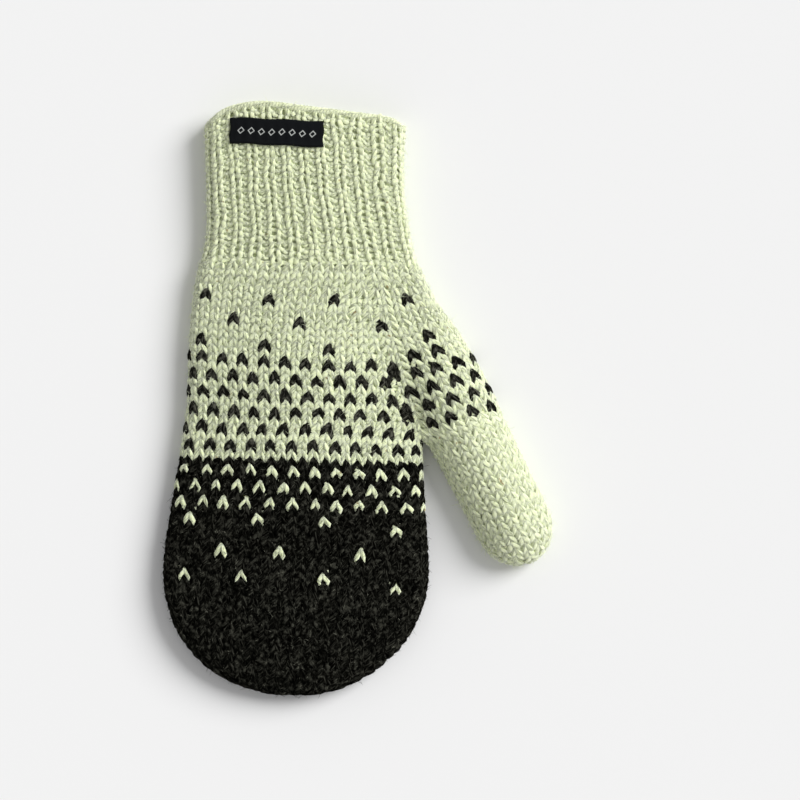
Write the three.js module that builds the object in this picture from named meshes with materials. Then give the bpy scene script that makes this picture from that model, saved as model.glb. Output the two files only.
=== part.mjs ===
// A knitted wool mitten with a ribbed cuff, lying flat with its back up.
// Millimetres: +X towards the thumb, +Y towards the cuff, +Z up, and the underside rests on z = 0.
// The origin is the middle of the mitten's bounding box, at the bottom.

import * as THREE from "three";

// Walls and joints
const handWall = 3.0;
const cuffWall = 3.4;
const seamGap = 0.3;

// The folds, where the front turns under to the back, as seen from above
const leftFold = [
  { y: 150, x: -68.4 },
  { y: 124, x: -68.4 },
  { y: 90, x: -68.0 },
  { y: 72, x: -68.6 },
  { y: 54, x: -72.8 },
  { y: 31, x: -75.3 },
  { y: -5, x: -77.2 },
  { y: -22, x: -79.7 },
  { y: -45, x: -83.5 },
  { y: -63, x: -86.4 },
  { y: -76.5, x: -87.7 },
];
const handRightFold = [
  { y: -19, x: 29.4 },
  { y: -45, x: 30.6 },
  { y: -63, x: 32.0 },
  { y: -76.5, x: 32.5 },
];
const gussetRightFold = [
  { y: 150, x: 21.2 },
  { y: 123, x: 21.2 },
  { y: 94, x: 21.9 },
  { y: 79, x: 24.3 },
  { y: 67, x: 26.8 },
  { y: 54, x: 31.0 },
  { y: 42, x: 37.8 },
  { y: 31, x: 45.8 },
  { y: 20, x: 52.6 },
  { y: 9, x: 58.5 },
  { y: -3.5, x: 64.6 },
];

// The rounded finger end is half an ellipse
const fingerEnd = { x: -27.6, y: -76.5, halfWidth: 60.1, length: 57.15 };

// The thumb is a straight tube that leans away from the hand and ends in half an ellipse
const thumbBase = new THREE.Vector2(48.0, -11.6);
const thumbLean = THREE.MathUtils.degToRad(26.9);
const thumbHalfWidth = { base: 18.0, end: 17.2 };
const thumbStraight = 49.5;
const thumbEnd = 19.8;
const crotch = new THREE.Vector2(29.4, -19.0);
const crotchAlong = 1.5;
const gussetEndY = gussetRightFold[gussetRightFold.length - 1].y;

// The mouth of the cuff, across from the left fold to the right fold, and the row where its rib ends
const mouthRim = [
  { across: 0, y: 124.0 },
  { across: 0.12, y: 131.0 },
  { across: 0.28, y: 133.6 },
  { across: 0.5, y: 131.4 },
  { across: 0.75, y: 128.6 },
  { across: 0.92, y: 126.4 },
  { across: 1, y: 122.8 },
];
const ribEnd = { leftY: 60.8, rightY: 58.6 };

// The line of increases, where the thumb's gusset leaves the front of the hand, ends above the crotch
const gussetLine = [
  { y: 59, x: 8.0 },
  { y: 49.5, x: 10.4 },
  { y: 33, x: 13.2 },
  { y: 14, x: 18.4 },
  { y: -4, x: 23.6 },
  { y: -13.5, x: 27.2 },
];

// Rows of knitting fall a little to the right, and the colour changes along one of them
const rowFall = 0.03;
const rowLevelBelow = -125;
const colourChangeY = -24.8;
const halfPalm = 54;

// How the mitten fills out: the radius of its folded edges, and how far its middle stands above them
const fullness = [
  { y: 134, edge: 7.4, dome: 4.6, domeRight: 21.2 },
  { y: 90, edge: 7.2, dome: 4.4, domeRight: 21.9 },
  { y: 60, edge: 6.4, dome: 5.4, domeRight: 25.5 },
  { y: 30, edge: 6.2, dome: 8.2, domeRight: 27.6 },
  { y: -19, edge: 6.2, dome: 10.4, domeRight: 29.4 },
  { y: -76.5, edge: 6.2, dome: 8.6, domeRight: 32.5 },
];
const thumbDome = 8.0;
const gussetRise = { from: -72, to: -8 };

// The rib: one raised wale for each pair of the cuff's stitches
const cuffStitches = 48;
const ribDepth = 1.3;
const sidesPerRib = 4;
const castOnEdge = 2.4;
const cuffLength = 72;

// The woven label on the front of the cuff
const label = { x: -36.0, y: 120.1, length: 42.2, width: 11.8, thickness: 0.9, lean: -0.05 };

// How finely each solid is faceted
const handSides = 24;
const gussetSides = 10;
const rowSamples = 160;

// A smooth value from a table, between its rows
function fromTable(table, key, column, at) {
  const rising = table[0][key] < table[table.length - 1][key];
  const rows = rising ? table : [...table].reverse();
  const last = rows.length - 1;
  if (at <= rows[0][key]) return rows[0][column];
  if (at >= rows[last][key]) return rows[last][column];
  const i = rows.findIndex((row) => row[key] > at) - 1;
  const slope = (j) => {
    const a = rows[Math.max(j - 1, 0)];
    const b = rows[Math.min(j + 1, last)];
    return (b[column] - a[column]) / (b[key] - a[key]);
  };
  const span = rows[i + 1][key] - rows[i][key];
  const t = (at - rows[i][key]) / span;
  const start = (1 + 2 * t) * (1 - t) ** 2 * rows[i][column] + t * (1 - t) ** 2 * span * slope(i);
  const end = t * t * (3 - 2 * t) * rows[i + 1][column] - t * t * (1 - t) * span * slope(i + 1);
  return start + end;
}

const foldX = (table, y) => fromTable(table, "y", "x", y);
const along = new THREE.Vector2(Math.sin(thumbLean), -Math.cos(thumbLean));
const across = new THREE.Vector2(Math.cos(thumbLean), Math.sin(thumbLean));

// Half the thumb's width at a distance along it from its base
function thumbHalf(distance) {
  const part = THREE.MathUtils.clamp(distance / thumbStraight, 0, 1);
  return THREE.MathUtils.lerp(thumbHalfWidth.base, thumbHalfWidth.end, part);
}

// A point of the thumb in plan, from its distance along and its offset across
function thumbPoint(distance, offset) {
  return thumbBase.clone().addScaledVector(along, distance).addScaledVector(across, offset);
}

// The folds as one line in plan, from the mouth's left corner round the fingers and thumb to its right
function foldLine() {
  const points = [];
  const followTable = (table, fromY, toY, steps) => {
    for (let i = 0; i <= steps; i += 1) {
      const y = THREE.MathUtils.lerp(fromY, toY, i / steps);
      points.push(new THREE.Vector2(foldX(table, y), y));
    }
  };
  followTable(leftFold, leftFold[0].y, fingerEnd.y, 90);
  for (let i = 1; i < 60; i += 1) {
    const turn = (Math.PI * i) / 60;
    const x = fingerEnd.x - fingerEnd.halfWidth * Math.cos(turn);
    points.push(new THREE.Vector2(x, fingerEnd.y - fingerEnd.length * Math.sin(turn)));
  }
  followTable(handRightFold, fingerEnd.y, crotch.y, 24);
  for (let i = 0; i <= 20; i += 1) {
    const distance = THREE.MathUtils.lerp(crotchAlong, thumbStraight, i / 20);
    points.push(thumbPoint(distance, -thumbHalf(distance)));
  }
  for (let i = 1; i < 40; i += 1) {
    const turn = (Math.PI * i) / 40;
    const offset = -thumbHalfWidth.end * Math.cos(turn);
    points.push(thumbPoint(thumbStraight + thumbEnd * Math.sin(turn), offset));
  }
  for (let i = 20; i > 0; i -= 1) {
    const distance = (thumbStraight * i) / 20;
    points.push(thumbPoint(distance, thumbHalf(distance)));
  }
  followTable(gussetRightFold, gussetEndY, gussetRightFold[0].y, 90);
  return points;
}

const folds = foldLine();

// How far a point in plan lies from the nearest fold
function foldDistance(x, y) {
  let nearest = Infinity;
  for (let i = 1; i < folds.length; i += 1) {
    const a = folds[i - 1];
    const b = folds[i];
    const dx = b.x - a.x;
    const dy = b.y - a.y;
    const t = THREE.MathUtils.clamp(((x - a.x) * dx + (y - a.y) * dy) / (dx * dx + dy * dy), 0, 1);
    nearest = Math.min(nearest, Math.hypot(x - a.x - t * dx, y - a.y - t * dy));
  }
  return nearest;
}

// How far the front stands above the folded edges: one swelling over the hand and one along the thumb
function domeHeight(x, y) {
  const bandY = Math.max(y, fingerEnd.y);
  const left = foldX(leftFold, bandY);
  const right = fromTable(fullness, "y", "domeRight", bandY);
  const side = (2 * x - left - right) / (right - left);
  const tip = Math.max(fingerEnd.y - y, 0) / fingerEnd.length;
  const hand = Math.max(1 - side * side - tip * tip, 0) ** 1.5;
  const fromBase = new THREE.Vector2(x, y).sub(thumbBase);
  const distance = fromBase.dot(along);
  const thumbSide = fromBase.dot(across) / thumbHalf(distance);
  const thumbTip = Math.max(distance - thumbStraight, 0) / thumbEnd;
  const thumb = Math.max(1 - thumbSide * thumbSide - thumbTip * thumbTip, 0) ** 1.5;
  const rise = THREE.MathUtils.smoothstep(distance, gussetRise.from, gussetRise.to);
  return fromTable(fullness, "y", "dome", bandY) * hand + thumbDome * thumb * rise;
}

// The heights of the front and the back, sunk below the outer surface by a given depth
function heights(x, y, depth) {
  const edge = fromTable(fullness, "y", "edge", y);
  const radius = edge - depth;
  const inward = THREE.MathUtils.clamp((foldDistance(x, y) - depth) / radius, 0, 1);
  const half = radius * Math.sqrt(1 - (1 - inward) ** 2);
  return { front: edge + half + domeHeight(x, y), back: edge - half };
}

// The stretch of a plan line that lies deeper than the folds by the given depth
function trimToDepth(line, depth) {
  if (depth === 0) return line;
  const reach = (from, to) => {
    let outside = 0;
    let inside = 0.5;
    for (let i = 0; i < 24; i += 1) {
      const middle = (outside + inside) / 2;
      const p = line(THREE.MathUtils.lerp(from, to, middle));
      if (foldDistance(p.x, p.y) < depth) outside = middle;
      else inside = middle;
    }
    return THREE.MathUtils.lerp(from, to, inside);
  };
  const start = reach(0, 1);
  const end = reach(1, 0);
  return (u) => line(THREE.MathUtils.lerp(start, end, u));
}

// Points at even steps along one face of a row, from u = from to u = to of its plan line
function facePoints(line, depth, face, from, to, steps) {
  const samples = [];
  for (let i = 0; i <= rowSamples; i += 1) {
    const eased = (1 - Math.cos((Math.PI * i) / rowSamples)) / 2;
    const p = line(THREE.MathUtils.lerp(from, to, eased));
    samples.push(new THREE.Vector3(p.x, p.y, heights(p.x, p.y, depth)[face]));
  }
  const reached = [0];
  for (let i = 1; i < samples.length; i += 1) {
    reached.push(reached[i - 1] + samples[i].distanceTo(samples[i - 1]));
  }
  const points = [];
  let i = 1;
  for (let step = 0; step <= steps; step += 1) {
    const target = (reached[reached.length - 1] * step) / steps;
    while (i < reached.length - 1 && reached[i] < target) i += 1;
    const t = (target - reached[i - 1]) / (reached[i] - reached[i - 1]);
    points.push(samples[i - 1].clone().lerp(samples[i], THREE.MathUtils.clamp(t, 0, 1)));
  }
  return points;
}

// A closed ring of points round a row: over the front from left to right, then back underneath
function ringOf(plan, depth, sides) {
  const line = trimToDepth(plan, depth);
  const front = facePoints(line, depth, "front", 0, 1, sides);
  const back = facePoints(line, depth, "back", 1, 0, sides);
  return [...front, ...back.slice(1, -1)];
}

// The same round a row that crosses the gusset, with a point kept on the line of increases
function bentRing(row, depth) {
  const hand = trimToDepth(row.hand, depth);
  const gusset = trimToDepth(row.gusset, depth);
  const front = facePoints(hand, depth, "front", 0, 1, handSides);
  const frontGusset = facePoints(gusset, depth, "front", 0, 1, gussetSides);
  const backGusset = facePoints(gusset, depth, "back", 1, 0, gussetSides);
  const back = facePoints(hand, depth, "back", 1, 0, handSides);
  return [...front, ...frontGusset.slice(1), ...backGusset.slice(1), ...back.slice(1, -1)];
}

// Plan lines of the rows
function lineBetween(a, b) {
  return (u) => a.clone().lerp(b, u);
}

// A row of the cuff: 0 at the mouth's rim and 1 where the rib ends
function cuffRow(part) {
  const rimY = (u) => fromTable(mouthRim, "across", "y", u);
  return (u) => {
    const y = THREE.MathUtils.lerp(rimY(u), THREE.MathUtils.lerp(ribEnd.leftY, ribEnd.rightY, u), part);
    const leftY = THREE.MathUtils.lerp(rimY(0), ribEnd.leftY, part);
    const rightY = THREE.MathUtils.lerp(rimY(1), ribEnd.rightY, part);
    const x = THREE.MathUtils.lerp(foldX(leftFold, leftY), foldX(gussetRightFold, rightY), u);
    return new THREE.Vector2(x, y);
  };
}

// A row across the hand and the gusset: 0 where the rib ends and 1 just above the crotch
function palmRow(part) {
  const start = gussetLine[0];
  const end = gussetLine[gussetLine.length - 1];
  const bendY = THREE.MathUtils.lerp(start.y - seamGap, end.y, part);
  const bend = new THREE.Vector2(foldX(gussetLine, bendY), bendY);
  const lastLeftY = end.y + 2 * rowFall * halfPalm;
  const leftY = THREE.MathUtils.lerp(ribEnd.leftY - seamGap, lastLeftY, part);
  const left = new THREE.Vector2(foldX(leftFold, leftY), leftY);
  const rightY = THREE.MathUtils.lerp(ribEnd.rightY - seamGap, gussetEndY, part);
  const right = new THREE.Vector2(foldX(gussetRightFold, rightY), rightY);
  return { hand: lineBetween(left, bend), gusset: lineBetween(bend, right) };
}

// A row across the hand below the crotch, level at the finger end
function handRow(y) {
  const fall = rowFall * THREE.MathUtils.smoothstep(y, rowLevelBelow, fingerEnd.y);
  if (y >= fingerEnd.y) {
    const leftY = y + fall * halfPalm;
    const rightY = y - fall * halfPalm;
    const left = new THREE.Vector2(foldX(leftFold, leftY), leftY);
    return lineBetween(left, new THREE.Vector2(foldX(handRightFold, rightY), rightY));
  }
  const half = (at) => {
    const past = THREE.MathUtils.clamp((fingerEnd.y - at) / fingerEnd.length, 0, 1);
    return fingerEnd.halfWidth * Math.sqrt(1 - past * past);
  };
  const leftY = y + fall * half(y);
  const rightY = y - fall * half(y);
  const left = new THREE.Vector2(fingerEnd.x - half(leftY), leftY);
  return lineBetween(left, new THREE.Vector2(fingerEnd.x + half(rightY), rightY));
}

// A row across the thumb
function thumbRow(distance) {
  const past = Math.max(distance - thumbStraight, 0) / thumbEnd;
  const half = thumbHalf(distance) * Math.sqrt(Math.max(1 - past * past, 0));
  return lineBetween(thumbPoint(distance, -half), thumbPoint(distance, half));
}

// Gathers the rings of one solid and the bands of triangles between them
class KnitSolid {
  constructor() {
    this.positions = [];
    this.indices = [];
  }

  point(p) {
    this.positions.push(p.x, p.y, p.z);
    return this.positions.length / 3 - 1;
  }

  ring(points) {
    return points.map((p) => this.point(p));
  }

  band(a, b) {
    for (let i = 0; i < a.length; i += 1) {
      const next = (i + 1) % a.length;
      this.indices.push(a[i], b[next], a[next]);
      this.indices.push(a[i], b[i], b[next]);
    }
  }

  tube(rings) {
    for (let i = 1; i < rings.length; i += 1) this.band(rings[i - 1], rings[i]);
  }

  cap(ring, tip, outward) {
    for (let i = 0; i < ring.length; i += 1) {
      const next = (i + 1) % ring.length;
      if (outward) this.indices.push(ring[next], ring[i], tip);
      else this.indices.push(ring[i], ring[next], tip);
    }
  }

  mesh(name, material) {
    const geometry = new THREE.BufferGeometry();
    geometry.setAttribute("position", new THREE.Float32BufferAttribute(this.positions, 3));
    geometry.setIndex(this.indices);
    geometry.computeVertexNormals();
    const mesh = new THREE.Mesh(geometry, material);
    mesh.name = name;
    return mesh;
  }
}

// The point of the crotch, between the hand and the thumb, at a given depth in the wall
function crotchPoint(depth) {
  const inward = new THREE.Vector2(-0.35, 1).normalize();
  const height = fromTable(fullness, "y", "edge", crotch.y);
  return new THREE.Vector3(crotch.x + depth * inward.x, crotch.y + depth * inward.y, height);
}

// Even parts of a stretch, both ends included
function evenSteps(from, to, steps) {
  return Array.from({ length: steps + 1 }, (_, i) => THREE.MathUtils.lerp(from, to, i / steps));
}

// The ribbed cuff, open at both ends, with a smooth cast-on edge at its mouth
function buildCuff(material) {
  const solid = new KnitSolid();
  const half = (cuffStitches / 4) * sidesPerRib;
  const ribbed = (part, fade) => {
    const outer = ringOf(cuffRow(part), 0, half);
    const inner = ringOf(cuffRow(part), cuffWall, half);
    return outer.map((p, i) => {
      const hollow = (1 - Math.cos((2 * Math.PI * i) / sidesPerRib)) / 2;
      return p.lerp(inner[i], (ribDepth * hollow * fade) / cuffWall);
    });
  };
  const rimPart = castOnEdge / cuffLength;
  const outer = evenSteps(1, 2 * rimPart, 8).map((part) => solid.ring(ribbed(part, 1)));
  outer.push(solid.ring(ribbed(rimPart, 0.25)));
  const rim = [0.25, 0.75].map((depth) => solid.ring(ringOf(cuffRow(0), depth * cuffWall, half)));
  const inside = evenSteps(rimPart, 1, 5).map((part) => solid.ring(ringOf(cuffRow(part), cuffWall, half)));
  const rings = [...outer, ...rim, ...inside];
  rings.reverse();
  solid.tube(rings);
  solid.band(rings[rings.length - 1], rings[0]);
  return solid.mesh("cuff", material);
}

// The cream part of the hand: from the rib through the gusset to the colour change, open at the thumb
function buildHandLight(material) {
  const solid = new KnitSolid();
  const bendFront = handSides;
  const bendBack = handSides + 2 * gussetSides;
  const surface = (depth, palmSteps) => {
    const palm = evenSteps(0, 1, palmSteps).map((part) => solid.ring(bentRing(palmRow(part), depth)));
    const split = palm[palm.length - 1];
    const saddle = solid.point(crotchPoint(depth));
    const handTop = [...split.slice(0, bendFront + 1), saddle, ...split.slice(bendBack)];
    const thumbRim = [saddle, ...split.slice(bendFront, bendBack + 1)];
    const rimY = colourChangeY + seamGap / 2;
    const handRim = solid.ring(ringOf(handRow(rimY), depth, handSides + 1));
    return { palm, handTop, thumbRim, handRim };
  };
  const outer = surface(0, 9);
  const inner = surface(handWall, 6);
  solid.tube(outer.palm);
  solid.tube([outer.handTop, outer.handRim, inner.handRim, inner.handTop]);
  solid.tube(inner.palm.reverse());
  solid.band(inner.palm[inner.palm.length - 1], outer.palm[0]);
  solid.band(outer.thumbRim, inner.thumbRim);
  return solid.mesh("hand_light", material);
}

// A closed cup of cloth: rings of the outside from its rim to its tip, and of the inside back to the rim
function buildCup(name, material, outerRings, outerTip, innerRings, innerTip) {
  const solid = new KnitSolid();
  const outer = outerRings.map((points) => solid.ring(points));
  const inner = innerRings.map((points) => solid.ring(points));
  solid.tube(outer);
  solid.cap(outer[outer.length - 1], solid.point(outerTip), true);
  solid.tube([...inner].reverse());
  solid.cap(inner[inner.length - 1], solid.point(innerTip), false);
  solid.band(inner[0], outer[0]);
  return solid.mesh(name, material);
}

// Places along a rounded end, closer together towards its tip
function roundedSteps(length, degrees) {
  return degrees.map((angle) => length * Math.sin(THREE.MathUtils.degToRad(angle)));
}

// The charcoal finger end of the hand
function buildHandDark(material) {
  const rimY = colourChangeY - seamGap / 2;
  const rings = (depth, steps, degrees) => {
    const straight = evenSteps(rimY, fingerEnd.y, steps);
    const round = roundedSteps(fingerEnd.length - depth, degrees).map((reach) => fingerEnd.y - reach);
    return [...straight, ...round].map((y) => ringOf(handRow(y), depth, handSides + 1));
  };
  const edge = fromTable(fullness, "y", "edge", fingerEnd.y);
  const tip = (depth) => new THREE.Vector3(fingerEnd.x, fingerEnd.y - fingerEnd.length + depth, edge);
  const outer = rings(0, 4, [15, 28, 40, 50, 58, 65, 72, 79, 85]);
  const inner = rings(handWall, 3, [22, 40, 54, 65, 75, 83]);
  return buildCup("hand_dark", material, outer, tip(0), inner, tip(handWall));
}

// The plain cream thumb, whose rim follows the row above the crotch
function buildThumb(material) {
  const split = palmRow(1);
  const shift = new THREE.Vector3(along.x * seamGap, along.y * seamGap, 0);
  const rim = (depth) => {
    const ring = bentRing(split, depth);
    const kept = ring.slice(handSides, handSides + 2 * gussetSides + 1);
    const clearOfHand = new THREE.Vector3(2 * seamGap, 0, 0);
    return [crotchPoint(depth).add(clearOfHand), ...kept.map((p) => p.clone().add(shift))];
  };
  const rings = (depth, steps, degrees) => {
    const straight = evenSteps(9, thumbStraight, steps);
    const round = roundedSteps(thumbEnd - depth, degrees).map((reach) => thumbStraight + reach);
    const rows = [...straight, ...round].map((at) => ringOf(thumbRow(at), depth, gussetSides + 1));
    return [rim(depth), ...rows];
  };
  const tip = (depth) => {
    const end = thumbPoint(thumbStraight + thumbEnd - depth, 0);
    return new THREE.Vector3(end.x, end.y, fromTable(fullness, "y", "edge", end.y));
  };
  const outer = rings(0, 4, [18, 34, 48, 60, 70, 79, 86]);
  const inner = rings(handWall, 3, [28, 50, 66, 78]);
  return buildCup("thumb", material, outer, tip(0), inner, tip(handWall));
}

// The woven label: a thin strip laid over the ribs of the cuff's front
function buildLabel(material) {
  const solid = new KnitSolid();
  const columns = 12;
  const rows = 4;
  const layer = (lift) => {
    const grid = [];
    for (let row = 0; row <= rows; row += 1) {
      for (let column = 0; column <= columns; column += 1) {
        const u = (column / columns - 0.5) * label.length;
        const v = (row / rows - 0.5) * label.width;
        const x = label.x + u - v * label.lean;
        const y = label.y + v + u * label.lean;
        grid.push(solid.point(new THREE.Vector3(x, y, heights(x, y, 0).front + lift)));
      }
    }
    return grid;
  };
  const under = layer(seamGap);
  const over = layer(seamGap + label.thickness);
  const at = (row, column) => row * (columns + 1) + column;
  for (let row = 0; row < rows; row += 1) {
    for (let column = 0; column < columns; column += 1) {
      const corners = [at(row, column), at(row, column + 1), at(row + 1, column + 1), at(row + 1, column)];
      const [a, b, c, d] = corners;
      solid.indices.push(over[a], over[b], over[c], over[a], over[c], over[d]);
      solid.indices.push(under[a], under[c], under[b], under[a], under[d], under[c]);
    }
  }
  const edge = [];
  for (let column = 0; column < columns; column += 1) edge.push(at(0, column));
  for (let row = 0; row < rows; row += 1) edge.push(at(row, columns));
  for (let column = columns; column > 0; column -= 1) edge.push(at(rows, column));
  for (let row = rows; row > 0; row -= 1) edge.push(at(row, 0));
  solid.band(edge.map((i) => over[i]), edge.map((i) => under[i]));
  return solid.mesh("label", material);
}

const creamWool = new THREE.MeshStandardMaterial({ color: 0xc9cfaa, roughness: 0.95, metalness: 0 });
const charcoalWool = new THREE.MeshStandardMaterial({ color: 0x2b2b27, roughness: 0.95, metalness: 0 });
const blackTape = new THREE.MeshStandardMaterial({ color: 0x14181a, roughness: 0.7, metalness: 0 });

const mitten = new THREE.Group();
mitten.add(buildCuff(creamWool));
mitten.add(buildHandLight(creamWool));
mitten.add(buildHandDark(charcoalWool));
mitten.add(buildThumb(creamWool));
mitten.add(buildLabel(blackTape));

export default mitten;
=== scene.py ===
"""A knitted wool mitten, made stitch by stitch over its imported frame.

The mitten lies flat with its back up. +X is towards the thumb, +Y towards the cuff's mouth, +Z up.
Sizes in the tables below are in millimetres, and the meshes are in metres.
Each row of knitting is a real loop of yarn that follows the surface of the frame.
"""

import functools
import math
from collections import namedtuple

import bpy
import numpy as np
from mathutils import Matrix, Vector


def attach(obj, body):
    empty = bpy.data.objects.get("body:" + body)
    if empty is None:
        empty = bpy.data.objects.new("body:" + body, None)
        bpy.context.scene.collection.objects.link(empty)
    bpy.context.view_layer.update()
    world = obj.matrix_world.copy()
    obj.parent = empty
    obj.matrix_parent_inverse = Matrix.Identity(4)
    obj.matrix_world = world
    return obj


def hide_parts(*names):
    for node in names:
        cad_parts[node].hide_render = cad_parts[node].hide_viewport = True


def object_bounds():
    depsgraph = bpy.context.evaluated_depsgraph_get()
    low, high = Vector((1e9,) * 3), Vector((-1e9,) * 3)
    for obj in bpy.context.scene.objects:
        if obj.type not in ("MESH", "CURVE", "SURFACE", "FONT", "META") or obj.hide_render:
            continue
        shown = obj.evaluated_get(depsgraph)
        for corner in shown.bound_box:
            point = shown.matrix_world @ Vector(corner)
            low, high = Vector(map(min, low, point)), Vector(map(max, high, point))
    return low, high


bl_info = {
    "name": "Knitted Mitten",
    "version": (1, 0, 0),
    "blender": (4, 5, 0),
    "location": "3D View > Sidebar > Mitten",
    "description": "Knits a wool mitten stitch by stitch over its frame",
    "category": "Object",
}

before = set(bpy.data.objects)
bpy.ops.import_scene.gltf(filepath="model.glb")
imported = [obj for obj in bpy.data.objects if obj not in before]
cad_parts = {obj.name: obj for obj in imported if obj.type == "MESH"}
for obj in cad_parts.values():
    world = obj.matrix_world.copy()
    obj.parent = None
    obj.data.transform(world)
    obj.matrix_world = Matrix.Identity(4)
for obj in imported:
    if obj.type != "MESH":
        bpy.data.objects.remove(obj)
cad_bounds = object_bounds()

MM = 0.001
BODY = "root"
TURN = 2 * math.pi

# The folds in plan, where the front turns under to the back: (y, x)
LEFT_FOLD = [
    (150, -69.2), (124, -69.2), (90, -68.3), (72, -68.8), (54, -73.0), (31, -75.6),
    (-5, -77.2), (-22, -79.7), (-45, -83.5), (-63, -86.4), (-76.5, -87.7),
]
HAND_RIGHT_FOLD = [(-19, 29.4), (-45, 30.6), (-63, 32.0), (-76.5, 32.5)]
GUSSET_RIGHT_FOLD = [
    (150, 22.8), (123, 22.8), (94, 22.5), (79, 24.5), (67, 26.9), (54, 31.0),
    (42, 37.8), (31, 45.8), (20, 52.6), (9, 58.5), (-3.5, 64.6),
]

# The rounded finger end and the thumb
FINGER_X, FINGER_Y, FINGER_HALF, FINGER_LENGTH = -27.6, -76.5, 60.1, 57.15
FINGER_BOW = (2.14, 2.0)
THUMB_BASE = np.array([48.0, -11.6])
THUMB_LEAN = math.radians(26.9)
THUMB_HALF_BASE, THUMB_HALF_END = 18.0, 17.2
THUMB_STRAIGHT, THUMB_ROUND = 49.5, 19.8
THUMB_STEP = THUMB_STRAIGHT / 20
THUMB_SQUARE_AT = 9.0
THUMB_START_LENGTH = 12.7
CROTCH = np.array([29.4, -19.0])
CROTCH_ALONG = 1.5
ALONG = np.array([math.sin(THUMB_LEAN), -math.cos(THUMB_LEAN)])
ACROSS = np.array([math.cos(THUMB_LEAN), math.sin(THUMB_LEAN)])

# The cuff's mouth (part of the way across, y), the end of its rib and the line of increases (y, x)
MOUTH_RIM = [(0, 124.0), (0.12, 131.0), (0.28, 133.6), (0.5, 131.4), (0.75, 128.6), (0.92, 126.4), (1, 122.8)]
RIB_LEFT_Y, RIB_RIGHT_Y = 60.8, 58.6
GUSSET_LINE = [(59, 8.0), (49.5, 10.4), (33, 13.2), (14, 18.4), (-4, 23.6), (-13.5, 27.2)]
ROW_FALL, ROW_LEVEL_BELOW, HALF_PALM = 0.03, -125, 54
COLOUR_CHANGE_Y = -24.8

# How the mitten fills out: (y, radius of the folded edge), (y, rise of the middle)
# and (y, right side of the rise)
EDGE_RADIUS = [(134, 7.4), (90, 7.2), (60, 6.4), (30, 6.2), (-19, 6.2), (-76.5, 6.2)]
DOME = [(134, 4.6), (90, 4.4), (60, 5.4), (30, 8.2), (-19, 10.4), (-76.5, 8.6)]
DOME_RIGHT = [(134, 21.2), (90, 21.9), (60, 25.5), (30, 27.6), (-19, 29.4), (-76.5, 32.5)]
THUMB_DOME = 8.0
GUSSET_RISE_FROM, GUSSET_RISE_TO = -72, -8

# Rows of knitting, counted from the end of the rib towards the fingertips
RIB_ROWS, CUFF_LENGTH = 25, 72
SPLIT_ROW = 19.5
CHANGE_ROW = 23
FIRST_DARK_ROW = 24
ROW_PITCH = 3.65
THUMB_ROW_PITCH = 3.6

# Stitches across one face: the whole hand, the hand's share beside the gusset and the gusset's own share
FACE_STITCHES = 24
HAND_SHARE = (17.7, 22.9)
GUSSET_SHARE = (5.0, 9.0)
THUMB_STITCHES = 9
CROTCH_EXTRA = 1.0
EDGE_TAKEN, EDGE_TAKEN_FROM = 0.5, 12
LINE_OVERLAP = 0.14

# The 1x1 rib: how far its knit stitches spread, its purl ones sink and its columns fan out below the mouth
RIB_SPREAD, RIB_ROOM, RIB_DEPTH, RIB_FAN = 0.07, 0.1, 0.9, 0.05

# How close the legs of a stitch lie at its foot, how far the yarn bulges past the folds' surface
# and spreads sideways where it is pressed, how far a fleck stands proud, and how much the palm's rows
# rise towards the left and the right fold
PINCH = 0.1
BULGE, RIB_BULGE = 0.5, 0.2
PRESSED = (0.8, 1.2)
PROUD = 0.22
LEFT_RISE, RIGHT_RISE = 3.6, 2.5

# How hand knitting strays: (amount, rows, columns) of each wave, the first two sideways and the rest along
STRAY = [(0.09, 4.3, 3.1), (0.07, 1.7, 1.3), (0.12, 3.4, 2.6), (0.09, 1.9, 1.1)]
RIB_STRAY = [(0.1, 2.7, 1.0), (0.05, 1.2, 1.0), (0.24, 2.2, 0.9)]

# Points along a stitch and round its yarn, the twist of its plies, and the loose fibres
SEGMENTS, SIDES = 12, 6
PLY_TURNS, PLY_DEPTH = 1.0, 0.1
FIBRE_LENGTH, FIBRE_RADIUS, FIBRE_BEND = 2.9, 0.075, 0.18

# How finely the surfaces are sampled: across a face, along a row, from row to row and at a closed end
FACE_SAMPLES, ROW_SAMPLES = 120, 160
ROW_STEP, END_RINGS = 0.25, 10

# Outer and inner depths of the felted layer in the cuff, in the cream hand and thumb, and in the finger end
CUFF_FELT, CREAM_FELT, DARK_FELT = (2.1, 2.7), (1.7, 2.3), (1.8, 2.4)

# How many loose fibres each piece has, and the seed of their random places
FIBRES = {
    "cuff_fibres": (7000, 21),
    "hand_light_fibres": (7000, 22),
    "hand_dark_fibres": (8000, 23),
    "thumb_fibres": (3500, 24),
}

# The woven label on the front of the cuff, its quads and its row of lozenges
LABEL_X, LABEL_Y, LABEL_LENGTH, LABEL_WIDTH = -36.0, 120.1, 42.2, 11.8
LABEL_THICKNESS, LABEL_LEAN, LABEL_GAP = 0.9, -0.05, 0.3
LABEL_COLUMNS, LABEL_LINES = 84, 24
LOZENGE_PITCH, LOZENGE_HALF, LOZENGE_ROW_HALF = 4.6, 1.35, 18.2

# The stage, in metres and degrees
FLOOR_HALF = 3
CAMERA_X, CAMERA_HEIGHT, SENSOR = 0.01935, 2.0, 36
PICTURE_WIDTH, MIDDLE_HEIGHT = 0.36, 0.012
KEY_ENERGY, KEY_SPREAD, KEY_ELEVATION, KEY_AZIMUTH = 3.02, 35, 37, 30
FILL_STRENGTH = 0.436


# Smooth tables and the mitten's form

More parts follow.
